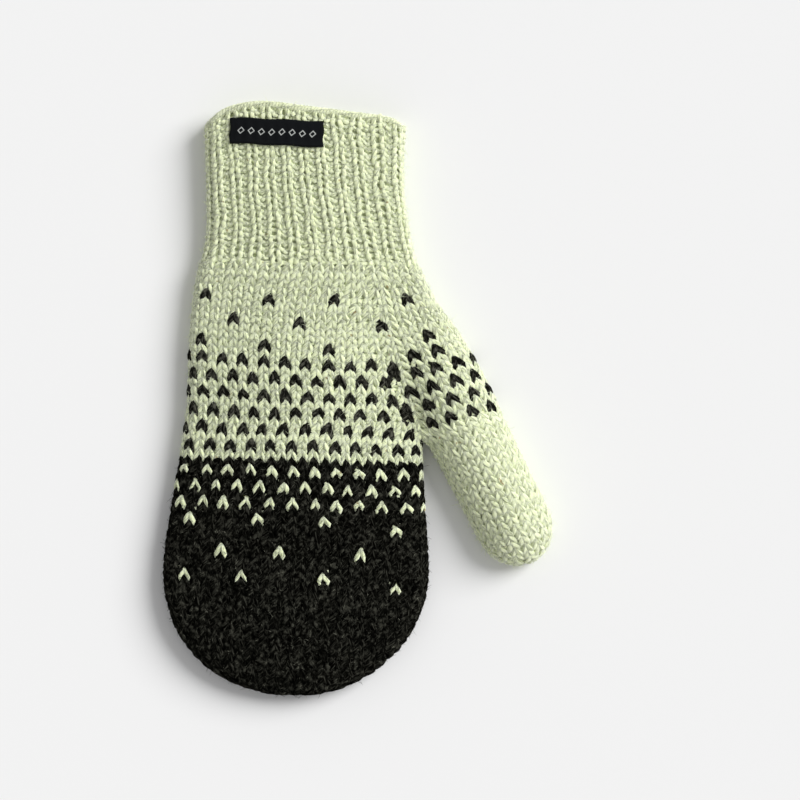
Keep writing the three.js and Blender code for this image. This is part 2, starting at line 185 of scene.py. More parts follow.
def smooth_table(rows, at):
    """A smooth curve through a table's rows, level past both ends."""
    rows = np.array(sorted(rows), dtype=float)
    keys, values = rows[:, 0], rows[:, 1]
    slopes = np.empty_like(values)
    slopes[1:-1] = (values[2:] - values[:-2]) / (keys[2:] - keys[:-2])
    slopes[0] = (values[1] - values[0]) / (keys[1] - keys[0])
    slopes[-1] = (values[-1] - values[-2]) / (keys[-1] - keys[-2])
    at = np.clip(np.asarray(at, dtype=float), keys[0], keys[-1])
    i = np.clip(np.searchsorted(keys, at, side="right") - 1, 0, len(keys) - 2)
    span = keys[i + 1] - keys[i]
    t = (at - keys[i]) / span
    start = (1 + 2 * t) * (1 - t) ** 2 * values[i] + t * (1 - t) ** 2 * span * slopes[i]
    end = t * t * (3 - 2 * t) * values[i + 1] - t * t * (1 - t) * span * slopes[i + 1]
    return start + end


def smoothstep(value, low, high):
    t = np.clip((value - low) / (high - low), 0, 1)
    return t * t * (3 - 2 * t)


def thumb_half(distance):
    part = np.clip(np.asarray(distance, dtype=float) / THUMB_STRAIGHT, 0, 1)
    return THUMB_HALF_BASE + (THUMB_HALF_END - THUMB_HALF_BASE) * part


def thumb_point(distance, offset):
    distance = np.asarray(distance, dtype=float)[..., None]
    return THUMB_BASE + ALONG * distance + ACROSS * np.asarray(offset, dtype=float)[..., None]


@functools.lru_cache(maxsize=None)
def fold_line():
    """The folds as one line, from the mouth's left corner round the fingers and thumb to its right."""
    def follow(table, first, last, steps):
        y = np.linspace(first, last, steps + 1)
        return np.stack([smooth_table(table, y), y], axis=1)

    turn = np.pi * np.arange(1, 180) / 180
    power = 2 / np.where(turn < np.pi / 2, *FINGER_BOW)
    across = np.sign(np.cos(turn)) * np.abs(np.cos(turn)) ** power
    down = FINGER_Y - FINGER_LENGTH * np.sin(turn) ** power
    fingers = np.stack([FINGER_X - FINGER_HALF * across, down], axis=1)
    inner = np.linspace(CROTCH_ALONG, THUMB_STRAIGHT, 21)
    tip = np.pi * np.arange(1, 40) / 40
    outer = THUMB_STEP * np.arange(20, 0, -1)
    return np.concatenate([
        follow(LEFT_FOLD, 150, FINGER_Y, 90),
        fingers,
        follow(HAND_RIGHT_FOLD, FINGER_Y, CROTCH[1], 24),
        thumb_point(inner, -thumb_half(inner)),
        thumb_point(THUMB_STRAIGHT + THUMB_ROUND * np.sin(tip), -THUMB_HALF_END * np.cos(tip)),
        thumb_point(outer, thumb_half(outer)),
        follow(GUSSET_RIGHT_FOLD, -3.5, 150, 90),
    ])


def fold_distance(points):
    """How far each point in plan lies from the nearest fold."""
    line = fold_line()
    start, step = line[:-1], np.diff(line, axis=0)
    length = np.maximum((step ** 2).sum(axis=1), 1e-9)
    nearest = np.empty(len(points))
    for first in range(0, len(points), 4000):
        away = points[first:first + 4000, None, :] - start[None]
        t = np.clip((away * step).sum(axis=2) / length, 0, 1)
        gap = away - t[..., None] * step
        nearest[first:first + 4000] = np.sqrt((gap ** 2).sum(axis=2).min(axis=1))
    return nearest


def dome_height(x, y):
    band = np.maximum(y, FINGER_Y)
    left = smooth_table(LEFT_FOLD, band)
    right = smooth_table(DOME_RIGHT, band)
    side = (2 * x - left - right) / (right - left)
    tip = np.maximum(FINGER_Y - y, 0) / FINGER_LENGTH
    hand = np.maximum(1 - side ** 2 - tip ** 2, 0) ** 1.5
    away = np.stack([x, y], axis=-1) - THUMB_BASE
    distance = away @ ALONG
    thumb_side = (away @ ACROSS) / thumb_half(distance)
    thumb_tip = np.maximum(distance - THUMB_STRAIGHT, 0) / THUMB_ROUND
    thumb = np.maximum(1 - thumb_side ** 2 - thumb_tip ** 2, 0) ** 1.5
    rise = smoothstep(distance, GUSSET_RISE_FROM, GUSSET_RISE_TO)
    return smooth_table(DOME, band) * hand + THUMB_DOME * thumb * rise


def surface_heights(points, end_gap=np.inf):
    """Heights of the front and of the back over points in plan, which meet where the gap to an end is 0."""
    x, y = points[:, 0], points[:, 1]
    edge = smooth_table(EDGE_RADIUS, y)
    inward = np.clip(np.minimum(fold_distance(points), end_gap) / edge, 0, 1)
    half = edge * np.sqrt(1 - (1 - inward) ** 2)
    return edge + half + dome_height(x, y), edge - half


# Plan lines of the rows

def arc_lengths(points):
    """How far along a line each of its points lies."""
    return np.concatenate([[0], np.cumsum(np.linalg.norm(np.diff(points, axis=0), axis=1))])


def profile_lengths(along, heights):
    """How far along a profile of heights each of its points lies."""
    return np.concatenate([[0], np.cumsum(np.hypot(np.diff(along), np.diff(heights)))])


def eased_parts():
    """Parts of the way across a row, closer together towards its two ends."""
    return (1 - np.cos(np.linspace(0, np.pi, ROW_SAMPLES + 1))) / 2


def at_lengths(wanted, lengths, points):
    """The points of a line that lie at the wanted lengths along it."""
    return np.stack([np.interp(wanted, lengths, column) for column in points.T], axis=1)


def eased_line(corners):
    """Points along a plan line through some corners, closer together towards its two ends."""
    corners = np.asarray(corners, dtype=float)
    lengths = arc_lengths(corners)
    return at_lengths(eased_parts() * lengths[-1], lengths, corners)


def on_fold(table, y):
    return [float(smooth_table(table, y)), y]


def mix(a, b, part):
    return a + (b - a) * part


def cuff_row(part):
    """A row of the cuff, 0 at its mouth and 1 where the rib ends."""
    u = eased_parts()
    y = mix(smooth_table(MOUTH_RIM, u), mix(RIB_LEFT_Y, RIB_RIGHT_Y, u), part)
    left = smooth_table(LEFT_FOLD, mix(MOUTH_RIM[0][1], RIB_LEFT_Y, part))
    right = smooth_table(GUSSET_RIGHT_FOLD, mix(MOUTH_RIM[-1][1], RIB_RIGHT_Y, part))
    return np.stack([mix(left, right, u), y], axis=1)


def left_rise(part):
    """How much higher a palm row lies at the left fold than a straight one."""
    return LEFT_RISE * math.sin(math.pi * part)


def palm_line(part):
    """A palm row, whose rise bends upwards only near the left fold."""
    corners = palm_corners(part)
    line = eased_line(corners)
    u = np.clip((line[:, 0] - corners[0][0]) / (corners[1][0] - corners[0][0]), 0, 1)
    line[:, 1] -= left_rise(part) * u * (1 - u)
    return line


def palm_corners(part):
    """Left fold, line of increases and right fold of a palm row, 0 at the rib and 1 above the crotch."""
    bend_y = mix(GUSSET_LINE[0][0], GUSSET_LINE[-1][0], part)
    left_y = mix(RIB_LEFT_Y, GUSSET_LINE[-1][0] + 2 * ROW_FALL * HALF_PALM, part) + left_rise(part)
    right_y = mix(RIB_RIGHT_Y, GUSSET_RIGHT_FOLD[-1][0], part) + RIGHT_RISE * math.sin(math.pi * part)
    return [on_fold(LEFT_FOLD, left_y), on_fold(GUSSET_LINE, bend_y), on_fold(GUSSET_RIGHT_FOLD, right_y)]


def hand_ends(y):
    """Left and right ends of a row below the crotch, level at the finger end."""
    fall = ROW_FALL * smoothstep(y, ROW_LEVEL_BELOW, FINGER_Y)
    if y >= FINGER_Y:
        return [on_fold(LEFT_FOLD, y + fall * HALF_PALM), on_fold(HAND_RIGHT_FOLD, y - fall * HALF_PALM)]

    def half(at, bow):
        past = np.clip((FINGER_Y - at) / FINGER_LENGTH, 0, 1)
        return FINGER_HALF * (1 - past ** bow) ** (1 / bow)

    left_y, right_y = y + fall * half(y, 2), y - fall * half(y, 2)
    left_x, right_x = FINGER_X - half(left_y, FINGER_BOW[0]), FINGER_X + half(right_y, FINGER_BOW[1])
    return [[left_x, left_y], [right_x, right_y]]


def split_row(part):
    """A row between the crotch and the colour change."""
    left, right = (np.array(p) for p in hand_ends(COLOUR_CHANGE_Y))
    above = [np.array(p) for p in palm_corners(1)]
    left_y = mix(above[0][1], left[1], part)
    right_y = mix(CROTCH[1], right[1], part) - 1e-3
    middle = mix(above[1], right, part)
    return eased_line([on_fold(LEFT_FOLD, left_y), middle, on_fold(HAND_RIGHT_FOLD, right_y)])


def thumb_row(distance):
    past = np.maximum(distance - THUMB_STRAIGHT, 0) / THUMB_ROUND
    half = float(thumb_half(distance)) * math.sqrt(max(1 - past * past, 0))
    return eased_line([thumb_point(distance, -half), thumb_point(distance, half)])


def thumb_start_row(distance):
    """A row of the thumb between the crotch and the first row that is square across it."""
    above = [np.array(p) for p in palm_corners(1)]
    half, square_half = float(thumb_half(distance)), float(thumb_half(THUMB_SQUARE_AT))
    left = mix(CROTCH, thumb_point(max(distance, CROTCH_ALONG), -half), min(distance / CROTCH_ALONG, 1))
    right = mix(above[2], thumb_point(max(distance, THUMB_STEP), half), min(distance / THUMB_STEP, 1))
    near_left = thumb_point(THUMB_SQUARE_AT, -0.76 * square_half)
    return eased_line([left, mix(above[1], near_left, distance / THUMB_SQUARE_AT), right])


# Surfaces made of rings, one for each step along the rows

def end_gaps(plans):
    """How far along its row each point lies from the nearer end of the row."""
    reached = np.cumsum(np.linalg.norm(np.diff(plans, axis=1), axis=2), axis=1)
    reached = np.concatenate([np.zeros((len(plans), 1)), reached], axis=1)
    return np.minimum(reached, reached[:, -1:] - reached)


class KnitSurface:
    """Closed rings over the front from left to right and back underneath, at even arc lengths."""

    def __init__(self, steps, plans, closed_end=False):
        self.steps = np.array(steps, dtype=float)
        self.closed_end = closed_end
        plans = np.array(plans)
        count, samples, _ = plans.shape
        front, back = surface_heights(plans.reshape(-1, 2), end_gaps(plans).ravel())
        self.lengths = np.empty((count, 2))
        rings = np.empty((count, 2 * FACE_SAMPLES, 3))
        for row in range(count):
            for face, heights in enumerate((front, back)):
                points = np.column_stack([plans[row], heights.reshape(count, samples)[row]])
                reached = arc_lengths(points)
                line = at_lengths(np.linspace(0, reached[-1], FACE_SAMPLES + 1), reached, points)
                if face == 0:
                    rings[row, :FACE_SAMPLES] = line[:-1]
                else:
                    rings[row, FACE_SAMPLES:] = line[:0:-1]
                self.lengths[row, face] = reached[-1]
        self.rings = rings
        along = np.roll(rings, -1, axis=1) - np.roll(rings, 1, axis=1)
        down = np.gradient(rings, self.steps, axis=0)
        normals = np.cross(down, along)
        normals /= np.maximum(np.linalg.norm(normals, axis=2, keepdims=True), 1e-12)
        if closed_end:
            inside = rings[-END_RINGS].mean(axis=0)
            turned_in = ((rings[-END_RINGS:] - inside) * normals[-END_RINGS:]).sum(axis=2, keepdims=True) < 0
            normals[-END_RINGS:] *= np.where(turned_in, -1, 1)
        for _ in range(2):
            normals = normals + 0.5 * (np.roll(normals, 1, axis=1) + np.roll(normals, -1, axis=1))
            normals /= np.maximum(np.linalg.norm(normals, axis=2, keepdims=True), 1e-12)
        if closed_end:
            normals[-1] = normals[-2]
        self.normals = normals

    def face_length(self, row, face):
        return np.interp(row, self.steps, self.lengths[:, face])

    def place(self, row, side, face, depth):
        """Points at a row, part of the way across a face, and depth below the surface, with their normals."""
        step = self.steps[1] - self.steps[0]
        at = (row - self.steps[0]) / step
        if self.closed_end:
            at = np.minimum(at, len(self.steps) - 1)
        i = np.clip(np.floor(at).astype(int), 0, len(self.steps) - 2)
        t = (at - i)[..., None]
        around = side * FACE_SAMPLES if face == 0 else (2 - side) * FACE_SAMPLES
        low = np.floor(around).astype(int)
        s = (around - low)[..., None]
        a, b = low % (2 * FACE_SAMPLES), (low + 1) % (2 * FACE_SAMPLES)

        def blend(grid, t):
            above = grid[i, a] * (1 - s) + grid[i, b] * s
            below = grid[i + 1, a] * (1 - s) + grid[i + 1, b] * s
            return above * (1 - t) + below * t

        normal = blend(self.normals, np.clip(t, 0, 1))
        normal /= np.linalg.norm(normal, axis=-1, keepdims=True)
        return blend(self.rings, t) - normal * np.asarray(depth)[..., None], normal


@functools.lru_cache(maxsize=None)
def upper_surface():
    """The cuff and the palm with its gusset, down to the crotch."""
    steps = np.arange(-RIB_ROWS, SPLIT_ROW + ROW_STEP / 2, ROW_STEP)
    plans = []
    for row in steps:
        if row < 0:
            plans.append(cuff_row(1 + row / RIB_ROWS))
        else:
            plans.append(palm_line(row / SPLIT_ROW))
    return KnitSurface(steps, plans)


@functools.lru_cache(maxsize=None)
def finger_rows():
    """Rows along the middle of the finger end, as (row, y) by arc length over the front."""
    y = np.linspace(COLOUR_CHANGE_Y, FINGER_Y - FINGER_LENGTH + 0.02, 600)
    front, _ = surface_heights(np.column_stack([np.full(len(y), FINGER_X), y]))
    return CHANGE_ROW + profile_lengths(y, front) / ROW_PITCH, y


@functools.lru_cache(maxsize=None)
def lower_surface():
    """The hand from the crotch to the fingertips."""
    rows, heights = finger_rows()
    steps = np.linspace(SPLIT_ROW, rows[-1], round((rows[-1] - SPLIT_ROW) / ROW_STEP) + 1)
    plans = []
    for row in steps:
        if row < CHANGE_ROW:
            plans.append(split_row((row - SPLIT_ROW) / (CHANGE_ROW - SPLIT_ROW)))
        else:
            plans.append(eased_line(hand_ends(float(np.interp(row, rows, heights)))))
    return KnitSurface(steps, plans, closed_end=True)


@functools.lru_cache(maxsize=None)
def thumb_rows():
    """Rows along the middle of the thumb, as (row, distance) by arc length over the front."""
    distance = np.linspace(THUMB_SQUARE_AT, THUMB_STRAIGHT + THUMB_ROUND - 0.02, 400)
    front, _ = surface_heights(thumb_point(distance, np.zeros(len(distance))))
    return (THUMB_START_LENGTH + profile_lengths(distance, front)) / THUMB_ROW_PITCH, distance


@functools.lru_cache(maxsize=None)
def thumb_surface():
    rows, distances = thumb_rows()
    steps = np.linspace(0, rows[-1], round(rows[-1] / ROW_STEP) + 1)
    plans = []
    for row in steps:
        if row < rows[0]:
            plans.append(thumb_start_row(row / rows[0] * THUMB_SQUARE_AT))
        else:
            plans.append(thumb_row(float(np.interp(row, rows, distances))))
    return KnitSurface(steps, plans, closed_end=True)


# Where the columns of stitches run

def ramp_in(column, count, slack):
    """Shifts the last columns before a line so that a whole number of them ends on it."""
    part = np.clip((column - (count - 4)) / 4, 0, 1)
    return column + slack * part


# A stitch: its face, the columns where it starts and ends in the ring's direction, and its colour
Stitch = namedtuple("Stitch", "face start end kind dark")


def palm_side(row, column, at_row, kind, face):
    """Part of the way across a face, for a column of the hand's share or of the gusset's."""
    total = upper_surface().face_length(at_row, face)
    down = np.clip(at_row, 0, SPLIT_ROW) / SPLIT_ROW
    bend = hand_length(at_row, face)
    if kind == "gusset":
        return 1 - column * (total - bend) / mix(*GUSSET_SHARE, down) / total
    taken = EDGE_TAKEN * (1 - smoothstep(at_row, EDGE_TAKEN_FROM, SPLIT_ROW))
    return (column - taken * smoothstep(column, 0, 2)) * bend / (mix(*HAND_SHARE, down) - taken) / total


@functools.lru_cache(maxsize=None)
def bend_lengths():
    """Arc length from the left fold to the line of increases, for both faces of each palm row."""
    rows = np.linspace(0, SPLIT_ROW, 24)
    eased = 1 - np.cos(np.linspace(0, np.pi / 2, ROW_SAMPLES + 1))
    lengths = np.empty((len(rows), 2))
    for n, row in enumerate(rows):
        left, bend, _ = palm_corners(row / SPLIT_ROW)
        line = np.array(left) + (np.array(bend) - left) * eased[:, None]
        for face, heights in enumerate(surface_heights(line)):
            points = np.column_stack([line, heights])
            lengths[n, face] = np.linalg.norm(np.diff(points, axis=0), axis=1).sum()
    return rows, lengths


def hand_length(row, face):
    rows, lengths = bend_lengths()
    return np.interp(row, rows, lengths[:, face])


def hand_columns(row):
    """Stitches across the hand below the crotch, where the gusset leaves a few to be taken in."""
    return FACE_STITCHES + CROTCH_EXTRA * (1 - smoothstep(row, SPLIT_ROW, SPLIT_ROW + 8))


def lower_side(row, column, at_row, kind, face, surface, count, tip_row):
    """Part of the way across a face where the columns are counted from its middle."""
    if surface is lower_surface() and row < tip_row - 1:
        return column / hand_columns(at_row)
    whole = surface.face_length(np.minimum(row, tip_row), face) / count
    own = surface.face_length(row, face)
    straight = 0.5 + (column - count / 2) * whole / np.maximum(surface.face_length(at_row, face), 1e-6)
    fitted = 0.5 + (column - count / 2) * whole / own
    weight = np.clip(np.abs(2 * fitted - 1), 0, 1) ** 4
    return np.clip(mix(straight, fitted, weight), 0, 1)


# The chart: rows with a fleck on the line of increases, and single cream flecks as row: columns
LINE_FLECK_ROWS = (7, 12, 13, 17, 18)
SPARSE_CREAM = {31: (2, 8, 14), 32: (20,), 35: (5, 10, 17), 38: (2, 7, 14), 39: (20,)}


def dark_fleck(row, column):
    """Whether the chart has a charcoal stitch here on the cream part."""
    if row in (4, 10):
        return column % 6 == 2
    if row == 7:
        return column % 6 == 5
    if row in (12, 16, 20):
        return column % 2 == 0
    if row in (14, 18, 22):
        return column % 2 == 1
    return False


def gusset_fleck(row, column):
    """Whether the chart has a charcoal stitch here on the gusset, with its columns counted from the fold."""
    if row in (4, 9):
        return column == 3
    if row == 11:
        return column in (3, 5)
    if row in (13, 17):
        return column % 2 == 0
    if row in (15, 19):
        return column % 2 == 1
    return False


def charcoal_ground(row, column):
    """Whether the charcoal part is charcoal here, and not a cream fleck."""
    if row in (25, 29):
        return column % 2 == 0
    if row == 27:
        return column % 2 == 1
    return column not in SPARSE_CREAM.get(row, ())


def in_ring_order(front, back):
    """Stitches of a row in the order that the yarn takes: over the front, then back underneath."""
    return front + [Stitch(1, s.end, s.start, s.kind, s.dark) for s in reversed(back)]


def palm_row(row):
    faces = []
    share = row / SPLIT_ROW
    hand_count, gusset_count = mix(*HAND_SHARE, share), mix(*GUSSET_SHARE, share)
    hand_whole, gusset_whole = round(hand_count), round(gusset_count)
    for face in (0, 1):
        stitches = []
        for i in range(hand_whole):
            ends = [float(ramp_in(c, hand_whole, hand_count - hand_whole)) for c in (i, i + 1)]
            ends[1] += LINE_OVERLAP if i == hand_whole - 1 else 0
            on_line = i == hand_whole - 1 and row in LINE_FLECK_ROWS
            kept = hand_whole - (2 if row in LINE_FLECK_ROWS else 1)
            dark = dark_fleck(row, i) and i < kept and (row != 7 or i < 12)
            stitches.append(Stitch(face, *ends, "hand", dark or on_line))
        for i in reversed(range(gusset_whole)):
            ends = [float(ramp_in(c, gusset_whole, gusset_count - gusset_whole)) for c in (i + 1, i)]
            ends[0] += LINE_OVERLAP if i == gusset_whole - 1 else 0
            stitches.append(Stitch(face, *ends, "gusset", gusset_fleck(row, i)))
        faces.append(stitches)
    return in_ring_order(*faces)


def hand_row(row, chart):
    """A row across the hand below the crotch, with its columns counted from the left fold."""
    across = float(hand_columns(row))
    whole = round(across)
    faces = []
    for face in (0, 1):
        edges = [float(ramp_in(c, whole, across - whole)) for c in range(whole + 1)]
        faces.append([Stitch(face, edges[n], edges[n + 1], "hand", chart(row, n)) for n in range(whole)])
    return in_ring_order(*faces)


def middle_row(row, surface, count, tip_row, chart):
    """A row whose columns are counted from the middle, with fewer stitches as the end rounds."""
    faces = []
    for face in (0, 1):
        whole = float(surface.face_length(min(row, tip_row), face)) / count
        across = float(surface.face_length(row, face)) / whole
        kept = max(2 * round((across - (count % 2)) / 2) + count % 2, 2 if count % 2 == 0 else 1)
        first = (count - kept) // 2
        edges = np.arange(kept + 1) - kept / 2
        slack = across / 2 - kept / 2
        edges = edges + np.sign(edges) * slack * np.clip((np.abs(edges) - (kept / 2 - 3)) / 3, 0, 1)
        edges = edges + count / 2
        faces.append([
            Stitch(face, float(edges[n]), float(edges[n + 1]), "hand", chart(row, first + n))
            for n in range(kept)
        ])
    return in_ring_order(*faces)


def cuff_ring():
    """A row of 1x1 rib, whose knit stitches spread and take room from the purl ones."""
    faces = []
    for face in (0, 1):
        stitches = []
        for n in range(FACE_STITCHES):
            room = -RIB_ROOM if n % 2 else RIB_ROOM
            stitches.append(Stitch(face, n - room, n + 1 + room, "purl" if n % 2 else "knit", False))
        faces.append(stitches)
    return in_ring_order(*faces)


# Loops of yarn

# The thickness of the yarn and the shape of its loops, in millimetres
Yarn = namedtuple("Yarn", "radius half_height half_depth lean bulge pinch spread", defaults=(0.0, 0.0))


@functools.lru_cache(maxsize=None)
def wander_grid():
    return np.random.default_rng(5).normal(0, 1, (2, 4, 48, 32))


def wander(row, column, face, layer):
    """A smooth random value over rows and columns, one unit of each to a cell of the seeded grid."""
    grid = wander_grid()[face, layer]
    i, j = np.floor(row).astype(int), np.floor(column).astype(int)
    s, t = smoothstep(row - i, 0, 1), smoothstep(column - j, 0, 1)
    down, across = grid.shape
    above = grid[i % down, j % across] * (1 - t) + grid[i % down, (j + 1) % across] * t
    below = grid[(i + 1) % down, j % across] * (1 - t) + grid[(i + 1) % down, (j + 1) % across] * t
    return above * (1 - s) + below * s


def drift(row, column, face, ribbed):
    """How far hand knitting strays from an even lattice, in columns and in rows."""
    waves = [
        amount * wander(row / rows, column / columns, face, layer)
        for layer, (amount, rows, columns) in enumerate(RIB_STRAY if ribbed else STRAY)
    ]
    return waves[0] + waves[1], sum(waves[2:])


class Loops:
    """Gathers the loops of one piece: a tube of yarn for each run of one colour in each row."""

    def __init__(self, seed, fleck=True):
        self.random = np.random.default_rng(seed)
        self.fleck = fleck
        self.runs = {False: [], True: []}

    def row(self, surface, side_of, row, stitches, yarn, pitch, wobble=1.0, ribbed=0.0):
        """Lays one closed row. side_of turns a column at a row into part of the way across a face."""
        count = len(stitches)
        t = TURN * np.arange(SEGMENTS) / SEGMENTS
        shape = np.sin(t / 2) ** 2
        shift = self.random.normal(0, 1, (count, 4)) * wobble
        centres, normals, radii = [], [], []
        for n, stitch in enumerate(stitches):
            spread = -0.6 * yarn.spread if stitch.kind == "purl" else yarn.spread
            across = t / TURN + yarn.lean * np.sin(2 * t) + 0.045 * shift[n, 0] * shape
            across += (yarn.pinch * (1 + np.cos(t)) / 2 - spread) * np.sin(t)
            column = stitch.start + (stitch.end - stitch.start) * across
            reach = yarn.half_height * (1 + 0.07 * shift[n, 1])
            at_row = row + (-reach * np.cos(t) + 0.16 * shift[n, 1] * shape) / pitch
            sideways, along = drift(at_row, column, stitch.face, ribbed)
            edge = 0.3
            if stitch.kind != "gusset":
                edge = np.clip(np.minimum(column, FACE_STITCHES - column) / 2, 0, 1)
            column = column + sideways * edge
            at_row = at_row + along * edge
            turned = np.cos(2 * t)
            sunk = 0.0
            if ribbed:
                lift = np.sin(t / 2) * (1 if stitch.kind == "knit" else -1)
                turned = turned * np.clip(2.2 * lift, -1, 1)
                sunk = ribbed * (1 - lift) / 2
            proud = PROUD if stitch.dark == self.fleck else 0.0
            depth = yarn.radius - yarn.bulge + yarn.half_depth * (1 + turned) + sunk
            depth = depth + 0.1 * shift[n, 2] * shape - proud
            side = side_of(row, column, at_row, stitch.kind, stitch.face)
            centre, normal = surface.place(at_row, side, stitch.face, depth)
            centres.append(centre)
            normals.append(normal)
            slub = 0.07 * np.sin(1.7 * t + 5 * shift[n, 3])
            thick = yarn.radius + proud / 2
            radii.append(thick * (1 + 0.06 * shift[n, 3] * shape + slub * np.sin(t / 2)))
        centres = np.array(centres)
        centres[..., 2] = np.maximum(centres[..., 2], yarn.radius + 0.02)
        normals, radii = np.array(normals), np.array(radii)
        dark = np.array([s.dark for s in stitches])
        if dark.all() or not dark.any():
            whole = [part.reshape(-1, *part.shape[2:]) for part in (centres, normals, radii)]
            self.runs[bool(dark[0])].append((*whole, True))
            return
        first = int(np.flatnonzero(dark != np.roll(dark, 1))[0])
        order = [(first + k) % count for k in range(count)]
        while order:
            colour = dark[order[0]]
            same = 1
            while same < len(order) and dark[order[same]] == colour:
                same += 1
            run, order = order[:same], order[same:]
            follow = (run[-1] + 1) % count
            picked = [part[run].reshape(-1, *part.shape[2:]) for part in (centres, normals, radii)]
            ends = [part[follow, :1] for part in (centres, normals, radii)]
            self.runs[bool(colour)].append((*[np.concatenate(pair) for pair in zip(picked, ends)], False))


def ring_quads(i, j, sides, rings):
    """Quads from each ring i to the one after it, at the corners j and the ones after them."""
    k, after = (j + 1) % sides, (i + 1) % rings
    return np.stack([i * sides + j, after * sides + j, after * sides + k, i * sides + k], axis=1)


def tube_piece(name, runs, material):
    """One mesh from many tubes. Each stitch has its own cell in the OFBake map."""
    points, faces, yarn_map, bake_map = [], [], [], []
    stitches = sum(math.ceil(len(c) / SEGMENTS) for c, *_ in runs)
    columns = max(1, round(math.sqrt(stitches * 0.5)))
    lines = math.ceil(stitches / columns)
    turn = TURN * np.arange(SIDES) / SIDES
    offset, cell = 0, 0
    for number, (centres, normals, radii, closed) in enumerate(runs):
        count = len(centres)
        if closed:
            tangent = np.roll(centres, -1, axis=0) - np.roll(centres, 1, axis=0)
        else:
            tangent = np.gradient(centres, axis=0)
        tangent /= np.maximum(np.linalg.norm(tangent, axis=1, keepdims=True), 1e-9)
        sideways = np.cross(tangent, normals)
        sideways /= np.maximum(np.linalg.norm(sideways, axis=1, keepdims=True), 1e-9)
        upward = np.cross(sideways, tangent)
        over = upward[:, None] * np.cos(turn)[:, None] * PRESSED[0]
        beside = sideways[:, None] * np.sin(turn)[:, None] * PRESSED[1]
        twist = TURN * PLY_TURNS * np.arange(count) / SEGMENTS
        plied = radii[:, None] * (1 + PLY_DEPTH * np.cos(2 * (turn[None] - twist[:, None])))
        points.append((centres[:, None] + (over + beside) * plied[..., None]).reshape(-1, 3))
        links = count if closed else count - 1
        i = np.repeat(np.arange(links), SIDES)
        j = np.tile(np.arange(SIDES), links)
        faces.append(ring_quads(i, j, SIDES, count) + offset)
        along = np.stack([i, i + 1, i + 1, i], axis=1)
        round_it = np.stack([j, j, j + 1, j + 1], axis=1) / SIDES
        yarn_map.append(np.stack([along / SEGMENTS + 7.31 * number, round_it], axis=2))
        own = cell + i // SEGMENTS
        inside = 0.04 + 0.92 * (along - (i // SEGMENTS * SEGMENTS)[:, None]) / SEGMENTS
        bake_map.append(np.stack([
            ((own % columns)[:, None] + inside) / columns,
            ((own // columns)[:, None] + 0.06 + 0.88 * round_it) / lines,
        ], axis=2))
        if not closed:
            ends = np.array([[0, 1, 2, 3], [0, 3, 4, 5]])
            faces.append(np.concatenate([ends, ends[:, ::-1] + (count - 1) * SIDES]) + offset)
            corners = np.array([[0, 0], [0.1, 0], [0.1, 0.1], [0, 0.1]])
            yarn_map.append(np.tile(corners, (4, 1, 1)))
            corner = np.array([cell % columns, cell // columns])
            bake_map.append(np.tile((corner + corners / 5) / [columns, lines], (4, 1, 1)))
        cell += math.ceil(links / SEGMENTS)
        offset += count * SIDES
    points = np.concatenate(points) * MM
    points[:, 2] = np.maximum(points[:, 2], 0)
    piece = mesh_piece(name, points, np.concatenate(faces), material)
    add_map(piece, "Yarn", np.concatenate(yarn_map))
    add_map(piece, "OFBake", np.concatenate(bake_map))
    return piece


def fibre_piece(name, runs, material, bare=None):
    """Fine fibres that stand out of the yarn: thin curved spindles, each closed at both ends.

    bare tells, for points on the yarn, which ones something else covers.
    """
    count, seed = FIBRES[name]
    random = np.random.default_rng(seed)
    centres, normals, radii = (np.concatenate([run[k] for run in runs]) for k in range(3))
    tangents = np.concatenate([np.gradient(run[0], axis=0) for run in runs])
    free = np.arange(len(centres)) if bare is None else np.flatnonzero(~bare(centres))
    pick = free[random.integers(0, len(free), count)]
    along = unit(tangents[pick])
    sideways = unit(np.cross(along, normals[pick]))
    angle = random.uniform(-1.4, 1.4, (count, 1))
    outward = normals[pick] * np.cos(angle) + sideways * np.sin(angle)
    spin = random.uniform(0, TURN, (count, 1))
    rise = random.uniform(0.1, 0.7, (count, 1))
    heading = unit(along * np.cos(spin) + sideways * np.sin(spin) + outward * rise)
    bend = random.normal(0, FIBRE_BEND, (count, 3)) - 0.07 * outward
    reach = FIBRE_LENGTH * random.uniform(0.45, 1.2, (count, 1))
    root = centres[pick] + outward * radii[pick, None] * 0.7
    spine = [root + heading * (reach * s) + bend * (reach * s) ** 2 / 2 for s in (0, 0.35, 0.72, 1)]
    first = unit(np.cross(heading, outward + 0.01))
    second = np.cross(heading, first)
    vertices = [spine[0]]
    for middle, thick in ((spine[1], FIBRE_RADIUS), (spine[2], FIBRE_RADIUS * 0.8)):
        for corner in range(3):
            turn = TURN * corner / 3
            vertices.append(middle + (first * math.cos(turn) + second * math.sin(turn)) * thick)
    vertices.append(spine[3])
    points = np.stack(vertices, axis=1)
    points[..., 2] = np.maximum(points[..., 2], 0.05)
    corners, places = [], []
    for j in range(3):
        k = (j + 1) % 3
        low, high = j / 3, (j + 1) / 3
        corners += [[0, 1 + k, 1 + j], [1 + j, 1 + k, 4 + k], [1 + j, 4 + k, 4 + j], [4 + j, 4 + k, 7]]
        places += [[(0, low), (0.35, high), (0.35, low)], [(0.35, low), (0.35, high), (0.72, high)],
                   [(0.35, low), (0.72, high), (0.72, low)], [(0.72, low), (0.72, high), (1, low)]]
    faces = (np.array(corners)[None] + 8 * np.arange(count)[:, None, None]).reshape(-1, 3)
    columns = math.ceil(math.sqrt(count))
    cell = np.stack([np.arange(count) % columns, np.arange(count) // columns], axis=1)
    spots = (cell[:, None, None] + 0.1 + 0.8 * np.array(places)[None]) / columns
    piece = mesh_piece(name, points.reshape(-1, 3) * MM, faces, material)
    add_map(piece, "OFBake", spots.reshape(-1, 3, 2))
    return piece


